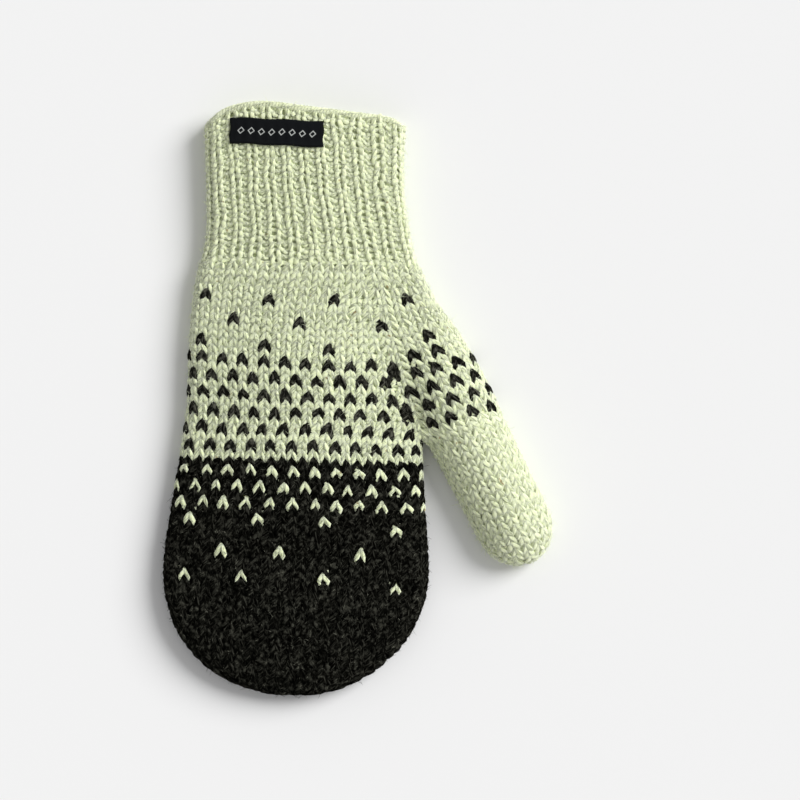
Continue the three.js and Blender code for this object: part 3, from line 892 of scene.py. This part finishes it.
def unit(vectors):
    return vectors / np.maximum(np.linalg.norm(vectors, axis=-1, keepdims=True), 1e-9)


def mesh_piece(name, points, faces, material):
    """A smooth-shaded mesh object from arrays of points in metres and of faces with equal corners."""
    mesh = bpy.data.meshes.new(name)
    corners = faces.shape[1]
    mesh.vertices.add(len(points))
    mesh.vertices.foreach_set("co", np.asarray(points, dtype=np.float32).ravel())
    mesh.loops.add(faces.size)
    mesh.loops.foreach_set("vertex_index", faces.astype(np.int32).ravel())
    mesh.polygons.add(len(faces))
    mesh.polygons.foreach_set("loop_start", np.arange(0, faces.size, corners, dtype=np.int32))
    mesh.polygons.foreach_set("loop_total", np.full(len(faces), corners, dtype=np.int32))
    mesh.update(calc_edges=True)
    mesh.validate()
    mesh.polygons.foreach_set("use_smooth", np.ones(len(mesh.polygons), dtype=bool))
    mesh.materials.append(material)
    piece = bpy.data.objects.new(name, mesh)
    bpy.context.scene.collection.objects.link(piece)
    return piece


def add_map(piece, name, corners):
    layer = piece.data.uv_layers.new(name=name)
    layer.data.foreach_set("uv", np.asarray(corners, dtype=np.float32).ravel())


def keep(piece, slot, *nodes):
    """Fixes a piece to the mitten's body and hides the nodes that it stands for. The slot is not used."""
    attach(piece, BODY)
    if nodes:
        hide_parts(*nodes)
    return piece


# Materials

def node(tree, kind, **settings):
    made = tree.nodes.new(kind)
    for key, value in settings.items():
        setattr(made, key, value)
    return made


def group_sockets(tree, inputs, outputs):
    for name, kind, value in inputs:
        socket = tree.interface.new_socket(name, in_out="INPUT", socket_type=kind)
        if value is not None:
            socket.default_value = value
    for name, kind in outputs:
        tree.interface.new_socket(name, in_out="OUTPUT", socket_type=kind)


def set_inputs(made, **values):
    """Sets sockets by their names, with _ for a space."""
    for key, value in values.items():
        made.inputs[key.replace("_", " ")].default_value = value


def feed(tree, socket, value):
    """Gives a socket a plain value, or the output of another node."""
    if isinstance(value, bpy.types.NodeSocket):
        tree.links.new(value, socket)
    else:
        socket.default_value = value


def math_node(tree, operation, *values):
    made = node(tree, "ShaderNodeMath", operation=operation)
    for socket, value in zip(made.inputs, values):
        feed(tree, socket, value)
    return made.outputs[0]


def map_range(tree, value, low, high, to_low=0.0, to_high=1.0):
    made = node(tree, "ShaderNodeMapRange")
    tree.links.new(value, made.inputs["Value"])
    for key, number in (("From Min", low), ("From Max", high), ("To Min", to_low), ("To Max", to_high)):
        feed(tree, made.inputs[key], number)
    return made.outputs["Result"]


def mix_colours(tree, factor, a, b):
    made = node(tree, "ShaderNodeMix", data_type="RGBA")
    tree.links.new(factor, made.inputs["Factor"])
    feed(tree, made.inputs[6], a)
    feed(tree, made.inputs[7], b)
    return made.outputs[2]


def noise_node(tree, vector, scale, detail):
    made = node(tree, "ShaderNodeTexNoise")
    feed(tree, made.inputs["Scale"], scale)
    feed(tree, made.inputs["Detail"], detail)
    tree.links.new(vector, made.inputs["Vector"])
    return made.outputs["Fac"]


@functools.lru_cache(maxsize=None)
def heather_group():
    """Heathered wool: a ground colour with streaks of lighter and darker fibre and rare coloured flecks."""
    tree = bpy.data.node_groups.new("Heathered Wool", "ShaderNodeTree")
    group_sockets(tree, [
        ("Ground", "NodeSocketColor", None),
        ("Light Fibre", "NodeSocketColor", None),
        ("Dark Fibre", "NodeSocketColor", None),
        ("Rare Fleck", "NodeSocketColor", None),
        ("Streak", "NodeSocketFloat", 0.5),
        ("Light Share", "NodeSocketFloat", 0.4),
        ("Dark Share", "NodeSocketFloat", 0.3),
        ("Fleck Share", "NodeSocketFloat", 0.1),
        ("Grain", "NodeSocketFloat", 900.0),
    ], [("Color", "NodeSocketColor"), ("Roughness", "NodeSocketFloat")])
    enter = node(tree, "NodeGroupInput")
    leave = node(tree, "NodeGroupOutput")
    place = node(tree, "ShaderNodeTexCoord").outputs["Object"]
    streak = enter.outputs["Streak"]

    grain = noise_node(tree, place, enter.outputs["Grain"], 3)
    light = math_node(tree, "MAXIMUM", map_range(tree, grain, 0.52, 0.66),
                      map_range(tree, streak, 0.54, 0.66))
    light = math_node(tree, "MULTIPLY", light, enter.outputs["Light Share"])
    dark = math_node(tree, "MAXIMUM", map_range(tree, noise_node(tree, place, 620, 3), 0.55, 0.67),
                     map_range(tree, streak, 0.45, 0.33))
    dark = math_node(tree, "MULTIPLY", dark, enter.outputs["Dark Share"])
    rare = map_range(tree, noise_node(tree, place, 330, 1), 0.745, 0.775)
    rare = math_node(tree, "MULTIPLY", rare, enter.outputs["Fleck Share"])
    colour = mix_colours(tree, light, enter.outputs["Ground"], enter.outputs["Light Fibre"])
    colour = mix_colours(tree, dark, colour, enter.outputs["Dark Fibre"])
    colour = mix_colours(tree, rare, colour, enter.outputs["Rare Fleck"])
    tree.links.new(colour, leave.inputs["Color"])
    rough = map_range(tree, noise_node(tree, place, 500, 2), 0.3, 0.7, 0.82, 0.98)
    tree.links.new(rough, leave.inputs["Roughness"])
    return tree


@functools.lru_cache(maxsize=None)
def ply_group():
    """A two-ply yarn: the height of its plies and fibres, the groove between them as the mask of painted
    shade, and streaks.
    """
    tree = bpy.data.node_groups.new("Twisted Plies", "ShaderNodeTree")
    group_sockets(tree, [
        ("Turns A Stitch", "NodeSocketFloat", PLY_TURNS),
        ("Fibre Height", "NodeSocketFloat", 0.4),
    ], [("Height", "NodeSocketFloat"), ("Groove Shade", "NodeSocketFloat"), ("Streak", "NodeSocketFloat")])
    enter = node(tree, "NodeGroupInput")
    leave = node(tree, "NodeGroupOutput")
    separate = node(tree, "ShaderNodeSeparateXYZ")
    tree.links.new(node(tree, "ShaderNodeUVMap", uv_map="Yarn").outputs["UV"], separate.inputs["Vector"])
    turned = math_node(tree, "MULTIPLY", separate.outputs["X"], enter.outputs["Turns A Stitch"])
    phase = math_node(tree, "MULTIPLY", math_node(tree, "SUBTRACT", separate.outputs["Y"], turned), TURN)
    cosine, sine = math_node(tree, "COSINE", phase), math_node(tree, "SINE", phase)
    ridge = math_node(tree, "ABSOLUTE", cosine)
    around = node(tree, "ShaderNodeCombineXYZ")
    for socket, value, scale in zip(around.inputs, (separate.outputs["X"], cosine, sine), (5.0, 2.3, 2.3)):
        tree.links.new(math_node(tree, "MULTIPLY", value, scale), socket)
    streak = noise_node(tree, around.outputs["Vector"], 1.0, 2)
    place = node(tree, "ShaderNodeTexCoord").outputs["Object"]
    fine = math_node(tree, "ADD", math_node(tree, "MULTIPLY", noise_node(tree, place, 2600, 2), 0.5), streak)
    fine = math_node(tree, "MULTIPLY", fine, enter.outputs["Fibre Height"])
    tree.links.new(math_node(tree, "ADD", ridge, fine), leave.inputs["Height"])
    # The groove between the plies, where the wool's colour is darkened as painted shade
    tree.links.new(map_range(tree, ridge, 0.42, 0.0), leave.inputs["Groove Shade"])
    tree.links.new(streak, leave.inputs["Streak"])
    return tree


def place_group(tree, group, **values):
    made = node(tree, "ShaderNodeGroup", node_tree=group)
    set_inputs(made, **values)
    return made


def new_material(name, **values):
    """A new material with its node tree and its shader."""
    material = bpy.data.materials.new(name)
    material.use_nodes = True
    shader = material.node_tree.nodes["Principled BSDF"]
    set_inputs(shader, **values)
    return material, material.node_tree, shader


def add_bump(tree, shader, height, strength, distance):
    bump = node(tree, "ShaderNodeBump")
    set_inputs(bump, Strength=strength, Distance=distance)
    tree.links.new(height, bump.inputs["Height"])
    tree.links.new(bump.outputs["Normal"], shader.inputs["Normal"])


def wool_material(name, shades, shares, sheen, soft, grain, gloss, plied):
    """A wool: heathered colour, painted shade in the grooves between its plies, a soft sheen.

    shades are its ground, light fibre, dark fibre (also the painted shade in the grooves) and rare fleck, and
    shares how much the last three show.
    """
    material, tree, shader = new_material(
        name, Specular_IOR_Level=gloss, Sheen_Weight=sheen, Sheen_Roughness=0.6, Diffuse_Roughness=1.0,
        Subsurface_Weight=soft, Subsurface_Radius=(1.0, 1.0, 0.8), Subsurface_Scale=0.0012)
    heather = place_group(
        tree, heather_group(),
        Ground=shades[0], Light_Fibre=shades[1], Dark_Fibre=shades[2], Rare_Fleck=shades[3],
        Light_Share=shares[0], Dark_Share=shares[1], Fleck_Share=shares[2], Grain=grain)
    tree.links.new(heather.outputs["Roughness"], shader.inputs["Roughness"])
    if not plied:
        tree.links.new(heather.outputs["Color"], shader.inputs["Base Color"])
        return material
    plies = place_group(tree, ply_group(), Turns_A_Stitch=PLY_TURNS, Fibre_Height=0.6)
    tree.links.new(plies.outputs["Streak"], heather.inputs["Streak"])
    # Painted shade: the grooves between the plies are darkened towards the dark fibre colour
    shade = math_node(tree, "MULTIPLY", plies.outputs["Groove Shade"], 0.6)
    colour = mix_colours(tree, shade, heather.outputs["Color"], shades[2])
    tree.links.new(colour, shader.inputs["Base Color"])
    add_bump(tree, shader, plies.outputs["Height"], 0.7, 0.0004)
    return material


def tint(colour, by):
    return tuple(min(max(c * by, 0), 1) for c in colour[:3]) + (1.0,)


# The wools: ground colour, how much lighter they are, shares of light, dark and rare fibre, and whether
# they are plied
WOOLS = {
    "Cream wool": ("cream", 1.04, (0.6, 0.66, 0.8), True),
    # A lighter copy of the same cream wool with fewer dark fibres: painted light on the cuff, its cast-on
    # edge and the thumb, which lie in more shade than the palm
    "Cream wool lightened for the cuff and thumb": ("cream", 1.08, (0.7, 0.4, 0.8), True),
    # The backings take darker copies of their wools: painted shade in the gaps between the loops
    "Cream wool darkened as shade": ("cream", 0.7, (0.4, 0.4, 0), False),
    "Cream fibres": ("cream", 1.1, (0.6, 0.45, 0), False),
    "Charcoal wool": ("charcoal", 1.0, (0.85, 0.85, 0.4), True),
    "Charcoal wool of the flecks": ("charcoal", 2.4, (0.85, 0.6, 0.4), True),
    # A darker copy of the charcoal for the finger end's backing: painted shade in the gaps between the loops
    "Charcoal wool darkened as shade": ("charcoal", 0.9, (0.6, 0.4, 0), False),
    "Charcoal fibres": ("charcoal", 5.0, (0.8, 0.8, 0.5), False),
}


@functools.lru_cache(maxsize=None)
def wool(name):
    """A wool of the table, made when it is first used."""
    colours = bpy.context.scene.mitten_colours
    base, by, shares, plied = WOOLS[name]
    if base == "charcoal":
        # The third shade is the dark fibre, and it also colours the painted shade in the ply grooves
        shades = [tint(colours.charcoal, step * by) for step in (1, 16, 0.05, 24)]
        return wool_material(name, shades, shares, 0.0, 0.0, 420.0, 0.0, plied)
    # The third shade is the grey fibre, and it also colours the painted shade in the ply grooves
    shades = [tint(colours.cream, by), tint(colours.cream, 1.08 * by),
              tint(colours.grey_fibre_and_groove_shade, by), tint(colours.ochre_fleck, 1)]
    return wool_material(name, shades, shares, 0.2, 0.5, 900.0, 0.25, plied)


@functools.lru_cache(maxsize=None)
def tape_material():
    """Woven black tape with a fine rib and a row of small lozenges, with painted highlight and shade on its
    weave.
    """
    colours = bpy.context.scene.mitten_colours
    material, tree, shader = new_material("Black tape", Specular_IOR_Level=0.1)
    separate = node(tree, "ShaderNodeSeparateXYZ")
    tree.links.new(node(tree, "ShaderNodeUVMap", uv_map="Tape").outputs["UV"], separate.inputs["Vector"])
    x, y = separate.outputs["X"], separate.outputs["Y"]

    def size(value):
        return math_node(tree, "ABSOLUTE", value)

    warp = size(math_node(tree, "SINE", math_node(tree, "MULTIPLY", x, TURN / 0.8)))
    weft = size(math_node(tree, "SINE", math_node(tree, "MULTIPLY", y, TURN / 0.6)))
    weave = math_node(tree, "MULTIPLY", warp, weft)
    part = math_node(tree, "FRACT", math_node(tree, "DIVIDE", x, LOZENGE_PITCH))
    beside = math_node(tree, "MULTIPLY", size(math_node(tree, "SUBTRACT", part, 0.5)), LOZENGE_PITCH)
    reach = math_node(tree, "ADD", beside, size(y))
    lozenge = map_range(tree, size(math_node(tree, "SUBTRACT", reach, LOZENGE_HALF)), 0.35, 0.2)
    inside = map_range(tree, size(x), LOZENGE_ROW_HALF, LOZENGE_ROW_HALF - 0.2)
    thread = math_node(tree, "MULTIPLY", lozenge, inside)
    # The weave's crests are painted lighter and its hollows darker: painted highlight and shade on the
    # threads
    ground = mix_colours(tree, weave, tint(colours.tape, 0.5), tint(colours.tape, 1.5))
    colour = mix_colours(tree, thread, ground, tint(colours.thread, 1))
    tree.links.new(colour, shader.inputs["Base Color"])
    tree.links.new(map_range(tree, weave, 0, 1, 0.75, 0.5), shader.inputs["Roughness"])
    height = math_node(tree, "ADD", weave, math_node(tree, "MULTIPLY", thread, 0.8))
    add_bump(tree, shader, height, 0.6, 0.0002)
    return material


# Pieces

def hand_yarn():
    sizes = bpy.context.scene.mitten_yarn
    return Yarn(sizes.radius / MM, sizes.loop_height / MM / 2, sizes.loop_depth / MM / 2,
                sizes.lean, BULGE, PINCH)


def rib_yarn():
    sizes = bpy.context.scene.mitten_yarn
    return Yarn(sizes.radius / MM * 0.95, sizes.loop_height / MM * 0.33, sizes.loop_depth / MM / 2,
                sizes.lean * 0.5, RIB_BULGE, spread=RIB_SPREAD)


def cuff_side(row, column, at_row, kind, face):
    """Part of the way across the cuff, where the columns of the front fan out from the mouth."""
    part = column / FACE_STITCHES
    fan = RIB_FAN * np.clip(-at_row / RIB_ROWS, 0, 1) if face == 0 else 0
    return part - fan * np.sin(np.pi * part ** 2)


def hand_side(row, column, at_row, kind, face):
    return lower_side(row, column, at_row, kind, face, lower_surface(), FACE_STITCHES, finger_tip_row())


def thumb_side(row, column, at_row, kind, face):
    return lower_side(row, column, at_row, kind, face, thumb_surface(), THUMB_STITCHES, thumb_tip_row())


@functools.lru_cache(maxsize=None)
def finger_tip_row():
    rows, heights = finger_rows()
    return float(np.interp(-FINGER_Y, -heights, rows))


@functools.lru_cache(maxsize=None)
def thumb_tip_row():
    rows, distances = thumb_rows()
    return float(np.interp(THUMB_STRAIGHT, distances, rows))


def ring_line(surface, around, at_row, depth):
    """Points and normals along a ring, with around counted in samples from the left fold over the front."""
    front = around < FACE_SAMPLES
    side = np.where(front, around / FACE_SAMPLES, 2 - around / FACE_SAMPLES)
    at_row, depth = at_row + 0.0 * around, depth + 0.0 * around
    over, under = (surface.place(at_row, side, face, depth) for face in (0, 1))
    return [np.where(front[:, None], a, b) for a, b in zip(over, under)]


def backing(name, surface, rows, material, depths):
    """A thin felted layer in the middle of the knitting, which closes the gaps between the loops. Its wool is
    a darker copy, as painted shade in the gaps.
    """
    around = np.arange(0, 2 * FACE_SAMPLES, 3)
    layers = [[ring_line(surface, around, row, depth)[0] for row in rows] for depth in depths]
    count = len(around)
    loop = np.array(layers[0] + layers[1][::-1])
    rings = len(loop)
    i = np.repeat(np.arange(rings), count)
    j = np.tile(np.arange(count), rings)
    return mesh_piece(name, loop.reshape(-1, 3) * MM, ring_quads(i, j, count, rings), material)


def knit_cuff():
    surface, yarn = upper_surface(), rib_yarn()
    loops = Loops(11)
    ring = cuff_ring()
    pitch = CUFF_LENGTH / RIB_ROWS
    for row in range(1 - RIB_ROWS, 0):
        ribbed = RIB_DEPTH * float(smoothstep(row + RIB_ROWS, 0, 3))
        loops.row(surface, cuff_side, row, ring, yarn, pitch, ribbed=ribbed)
    # The cuff and its cast-on edge take the lighter copy of the cream wool, as painted light
    keep(tube_piece("cuff_knit", loops.runs[False], wool("Cream wool lightened for the cuff and thumb")), "cream_wool", "cuff")
    fibres = fibre_piece("cuff_fibres", loops.runs[False], wool("Cream fibres"), under_label)
    keep(fibres, "cream_wool", "cuff")
    rows = np.linspace(0.6 - RIB_ROWS, -0.1, 24)
    keep(backing("cuff_backing", surface, rows, wool("Cream wool darkened as shade"), CUFF_FELT), "cream_wool", "cuff")
    around = np.arange(0, 2 * FACE_SAMPLES, 0.5)
    strands = []
    for ply in range(3):
        turn = TURN * (around / (2 * FACE_SAMPLES) * 2 * FACE_STITCHES + ply / 3)
        at_row, depth = 0.3 - RIB_ROWS + 0.32 * np.sin(turn), 1.6 + 0.7 * np.cos(turn)
        centres, normals = ring_line(surface, around, at_row, depth)
        strands.append((centres, normals, np.full(len(around), 0.75), True))
    keep(tube_piece("cast_on_edge", strands, wool("Cream wool lightened for the cuff and thumb")), "cream_wool", "cuff")


def knit_hand_light():
    surface, yarn = upper_surface(), hand_yarn()
    loops = Loops(12)
    for row in range(0, 20):
        loops.row(surface, palm_side, row, palm_row(row), yarn, ROW_PITCH)
    below = lower_surface()
    for row in range(20, FIRST_DARK_ROW):
        loops.row(below, hand_side, row, hand_row(row, dark_fleck), yarn, ROW_PITCH)
    keep(tube_piece("hand_light_knit", loops.runs[False], wool("Cream wool")), "cream_wool", "hand_light")
    flecks = tube_piece("hand_light_flecks", loops.runs[True], wool("Charcoal wool of the flecks"))
    keep(flecks, "charcoal_wool", "hand_light")
    fibres = fibre_piece("hand_light_fibres", loops.runs[False], wool("Cream fibres"))
    keep(fibres, "cream_wool", "hand_light")
    rows = np.linspace(0.1, SPLIT_ROW, 22)
    # The backings' cream wool is a darker copy: painted shade in the gaps between the loops
    inside = wool("Cream wool darkened as shade")
    keep(backing("palm_backing", surface, rows, inside, CREAM_FELT), "cream_wool", "hand_light")
    rows = np.linspace(SPLIT_ROW, FIRST_DARK_ROW - 0.6, 6)
    keep(backing("split_backing", below, rows, inside, CREAM_FELT), "cream_wool", "hand_light")


def knit_hand_dark():
    surface, yarn = lower_surface(), hand_yarn()
    loops = Loops(13, fleck=False)
    last = int(surface.steps[-1] - 0.4)
    for row in range(FIRST_DARK_ROW, last + 1):
        if row < finger_tip_row() - 1:
            ring = hand_row(row, charcoal_ground)
        else:
            ring = middle_row(row, surface, FACE_STITCHES, finger_tip_row(), charcoal_ground)
        loops.row(surface, hand_side, row, ring, yarn, ROW_PITCH, wobble=1.6)
    thin = [(centres, normals, radii * loops.random.uniform(0.6, 0.9), closed)
            for centres, normals, radii, closed in loops.runs[False]]
    keep(tube_piece("hand_dark_knit", loops.runs[True], wool("Charcoal wool")), "charcoal_wool", "hand_dark")
    keep(tube_piece("hand_dark_flecks", thin, wool("Cream wool")), "cream_wool", "hand_dark")
    fibres = fibre_piece("hand_dark_fibres", loops.runs[True], wool("Charcoal fibres"))
    keep(fibres, "charcoal_wool", "hand_dark")
    rows = np.linspace(FIRST_DARK_ROW - 0.4, surface.steps[-1] - 0.5, 36)
    # The finger end's backing takes the darker charcoal: painted shade in the gaps between the loops
    layer = backing("finger_backing", surface, rows, wool("Charcoal wool darkened as shade"), DARK_FELT)
    keep(layer, "charcoal_wool", "hand_dark")


def knit_thumb():
    surface, yarn = thumb_surface(), hand_yarn()
    loops = Loops(14)
    last = int(surface.steps[-1] - 0.5)
    for row in range(0, last + 1):
        ring = middle_row(row + 0.5, surface, THUMB_STITCHES, thumb_tip_row(), lambda r, c: False)
        loops.row(surface, thumb_side, row + 0.5, ring, yarn, THUMB_ROW_PITCH)
    # The thumb takes the lighter copy of the cream wool, as painted light against its shading
    keep(tube_piece("thumb_knit", loops.runs[False], wool("Cream wool lightened for the cuff and thumb")), "cream_wool", "thumb")
    keep(fibre_piece("thumb_fibres", loops.runs[False], wool("Cream fibres")), "cream_wool", "thumb")
    rows = np.linspace(0.1, surface.steps[-1] - 1.3, 24)
    layer = backing("thumb_backing", surface, rows, wool("Cream wool darkened as shade"), CREAM_FELT)
    keep(layer, "cream_wool", "thumb")


def under_label(points):
    """Which points of the front lie under the label, or so near that their fibres would cross it."""
    x, y = points[:, 0] - LABEL_X, points[:, 1] - LABEL_Y
    along, across = x + y * LABEL_LEAN, y - x * LABEL_LEAN
    inside = (np.abs(along) < LABEL_LENGTH / 2 + 2) & (np.abs(across) < LABEL_WIDTH / 2 + 2)
    return inside & (points[:, 2] > cad_bounds[1][2] / MM / 2)


def sew_label():
    """A strip of woven tape that lies over the ribs, with its edges turned down."""
    columns, lines = LABEL_COLUMNS, LABEL_LINES
    u = (np.linspace(0, 1, columns + 1) - 0.5) * LABEL_LENGTH
    v = (np.linspace(0, 1, lines + 1) - 0.5) * LABEL_WIDTH
    u, v = np.meshgrid(u, v)
    x = LABEL_X + u - v * LABEL_LEAN + 0.25 * np.sin(v * 0.9 + 0.4)
    y = LABEL_Y + v + u * LABEL_LEAN + 0.22 * np.sin(u * 0.35)
    flat = np.column_stack([x.ravel(), y.ravel()])
    front, _ = surface_heights(flat)
    inset = np.minimum(LABEL_LENGTH / 2 - np.abs(u), LABEL_WIDTH / 2 - np.abs(v)).ravel()
    ripple = 0.12 * np.sin(u.ravel() * 1.32) * np.clip(inset, 0, 3) / 3
    rolled = LABEL_THICKNESS * np.sqrt(1 - (1 - np.clip(inset / 0.7, 0, 1)) ** 2)
    top = front + LABEL_GAP - 0.2 + ripple + 0.1 + rolled
    under = front + LABEL_GAP - 0.2 + ripple
    points = np.concatenate([np.column_stack([flat, top]), np.column_stack([flat, under])])
    row = columns + 1
    count = len(flat)
    i = np.repeat(np.arange(lines), columns)
    j = np.tile(np.arange(columns), lines)
    a = i * row + j
    over = np.stack([a, a + 1, a + row + 1, a + row], axis=1)
    below = over[:, ::-1] + count
    edge = np.concatenate([
        np.arange(columns), np.arange(lines) * row + columns,
        lines * row + np.arange(columns, 0, -1), np.arange(lines, 0, -1) * row,
    ])
    following = np.roll(edge, -1)
    sides = np.stack([edge, edge + count, following + count, following], axis=1)
    faces = np.concatenate([over, below, sides])
    piece = mesh_piece("label_tape", points * MM, faces, tape_material())
    places = np.column_stack([np.tile(u.ravel(), 2), np.tile(v.ravel(), 2)])
    loops = np.empty(len(piece.data.loops), dtype=np.int32)
    piece.data.loops.foreach_get("vertex_index", loops)
    add_map(piece, "Tape", places[loops])
    keep(piece, "black_tape", "label")


def set_stage():
    """A pale floor, a soft key light from the upper right, soft fill, and a camera straight above."""
    colours = bpy.context.scene.mitten_colours
    corners = np.array([[-1, -1, 0], [1, -1, 0], [1, 1, 0], [-1, 1, 0]], dtype=float) * FLOOR_HALF
    finish, _, shader = new_material("Floor", Roughness=0.95, Specular_IOR_Level=0.1)
    shader.inputs["Base Color"].default_value = tint(colours.floor, 1)
    floor = mesh_piece("floor", corners, np.array([[0, 1, 2, 3]]), finish)

    scene = bpy.context.scene
    camera = bpy.data.cameras.new("camera")
    camera.sensor_width = SENSOR
    camera.lens = SENSOR * (CAMERA_HEIGHT - MIDDLE_HEIGHT) / PICTURE_WIDTH
    holder = bpy.data.objects.new("camera", camera)
    holder.location = (CAMERA_X, 0, CAMERA_HEIGHT)
    scene.collection.objects.link(holder)
    scene.camera = holder

    key = bpy.data.lights.new("key", "SUN")
    key.energy = KEY_ENERGY
    key.angle = math.radians(KEY_SPREAD)
    lamp = bpy.data.objects.new("key", key)
    lamp.rotation_euler = (0, math.pi / 2 - math.radians(KEY_ELEVATION), math.radians(KEY_AZIMUTH))
    scene.collection.objects.link(lamp)

    world = bpy.data.worlds.new("studio")
    world.use_nodes = True
    set_inputs(world.node_tree.nodes["Background"], Color=(1, 1, 1, 1), Strength=FILL_STRENGTH)
    scene.world = world
    scene.view_settings.view_transform = "Standard"


# Settings, operators and the panel

class MittenYarn(bpy.types.PropertyGroup):
    """Sizes of the yarn and of its loops"""

    radius: bpy.props.FloatProperty(
        name="Yarn radius", description="Half the thickness of the wool", default=0.001, unit="LENGTH")
    loop_height: bpy.props.FloatProperty(
        name="Loop height", description="Height of one loop from foot to head", default=0.0062, unit="LENGTH")
    loop_depth: bpy.props.FloatProperty(
        name="Loop depth", description="How far a loop's legs stand over its head", default=0.0012,
        unit="LENGTH")
    lean: bpy.props.FloatProperty(
        name="Leg lean", description="How far the legs lean apart, as a share of a stitch", default=0.29)


class MittenColours(bpy.types.PropertyGroup):
    """Colours of the wools, the tape and the floor"""

    cream: bpy.props.FloatVectorProperty(
        name="Cream wool", description="Ground colour of the cream wool", subtype="COLOR", size=3,
        default=(0.80, 0.86, 0.57))
    # Also the colour of the painted shade in the cream wool's ply grooves
    grey_fibre_and_groove_shade: bpy.props.FloatVectorProperty(
        name="Grey fibre", description="Darker fibres in the cream wool", subtype="COLOR", size=3,
        default=(0.2, 0.22, 0.15))
    ochre_fleck: bpy.props.FloatVectorProperty(
        name="Ochre fleck", description="Rare flecks in the cream wool", subtype="COLOR", size=3,
        default=(0.36, 0.26, 0.1))
    charcoal: bpy.props.FloatVectorProperty(
        name="Charcoal wool", description="Ground colour of the charcoal wool", subtype="COLOR", size=3,
        default=(0.0038, 0.0038, 0.0030))
    tape: bpy.props.FloatVectorProperty(
        name="Tape", description="Colour of the label's tape", subtype="COLOR", size=3,
        default=(0.0035, 0.0045, 0.006))
    thread: bpy.props.FloatVectorProperty(
        name="Thread", description="Pale thread of the label's lozenges", subtype="COLOR", size=3,
        default=(0.5, 0.52, 0.5))
    floor: bpy.props.FloatVectorProperty(
        name="Floor", description="Colour of the floor", subtype="COLOR", size=3, default=(0.88, 0.88, 0.88))


class MITTEN_OT_cuff(bpy.types.Operator):
    """Knits the ribbed cuff and its cast-on edge"""

    bl_idname = "mitten.cuff"
    bl_label = "Knit the cuff"

    def execute(self, context):
        knit_cuff()
        return {"FINISHED"}


class MITTEN_OT_hand_light(bpy.types.Operator):
    """Knits the cream part of the hand with its charcoal flecks"""

    bl_idname = "mitten.hand_light"
    bl_label = "Knit the cream hand"

    def execute(self, context):
        knit_hand_light()
        return {"FINISHED"}


class MITTEN_OT_hand_dark(bpy.types.Operator):
    """Knits the charcoal finger end with its cream flecks"""

    bl_idname = "mitten.hand_dark"
    bl_label = "Knit the charcoal finger end"

    def execute(self, context):
        knit_hand_dark()
        return {"FINISHED"}


class MITTEN_OT_thumb(bpy.types.Operator):
    """Knits the plain cream thumb"""

    bl_idname = "mitten.thumb"
    bl_label = "Knit the thumb"

    def execute(self, context):
        knit_thumb()
        return {"FINISHED"}


class MITTEN_OT_label(bpy.types.Operator):
    """Sews the woven label to the cuff"""

    bl_idname = "mitten.label"
    bl_label = "Sew on the label"

    def execute(self, context):
        sew_label()
        return {"FINISHED"}


class MITTEN_OT_stage(bpy.types.Operator):
    """Sets up the floor, the lights and the camera"""

    bl_idname = "mitten.stage"
    bl_label = "Set the stage"

    def execute(self, context):
        set_stage()
        return {"FINISHED"}


OPERATORS = (
    MITTEN_OT_cuff,
    MITTEN_OT_hand_light,
    MITTEN_OT_hand_dark,
    MITTEN_OT_thumb,
    MITTEN_OT_label,
    MITTEN_OT_stage,
)


class MITTEN_PT_panel(bpy.types.Panel):
    """Lists the mitten's settings and the steps that make it"""

    bl_idname = "MITTEN_PT_panel"
    bl_label = "Knitted Mitten"
    bl_space_type = "VIEW_3D"
    bl_region_type = "UI"
    bl_category = "Mitten"

    def draw(self, context):
        layout = self.layout
        for settings in (context.scene.mitten_yarn, context.scene.mitten_colours):
            for key in settings.__annotations__:
                layout.prop(settings, key)
        for operator in OPERATORS:
            layout.operator(operator.bl_idname)


CLASSES = (MittenYarn, MittenColours, *OPERATORS, MITTEN_PT_panel)


def register():
    for cls in CLASSES:
        bpy.utils.register_class(cls)
    bpy.types.Scene.mitten_yarn = bpy.props.PointerProperty(type=MittenYarn)
    bpy.types.Scene.mitten_colours = bpy.props.PointerProperty(type=MittenColours)


def unregister():
    del bpy.types.Scene.mitten_colours
    del bpy.types.Scene.mitten_yarn
    for cls in reversed(CLASSES):
        bpy.utils.unregister_class(cls)


def main():
    register()
    bpy.ops.mitten.cuff()
    bpy.ops.mitten.hand_light()
    bpy.ops.mitten.hand_dark()
    bpy.ops.mitten.thumb()
    bpy.ops.mitten.label()
    bpy.ops.mitten.stage()


if __name__ == "__main__":
    main()
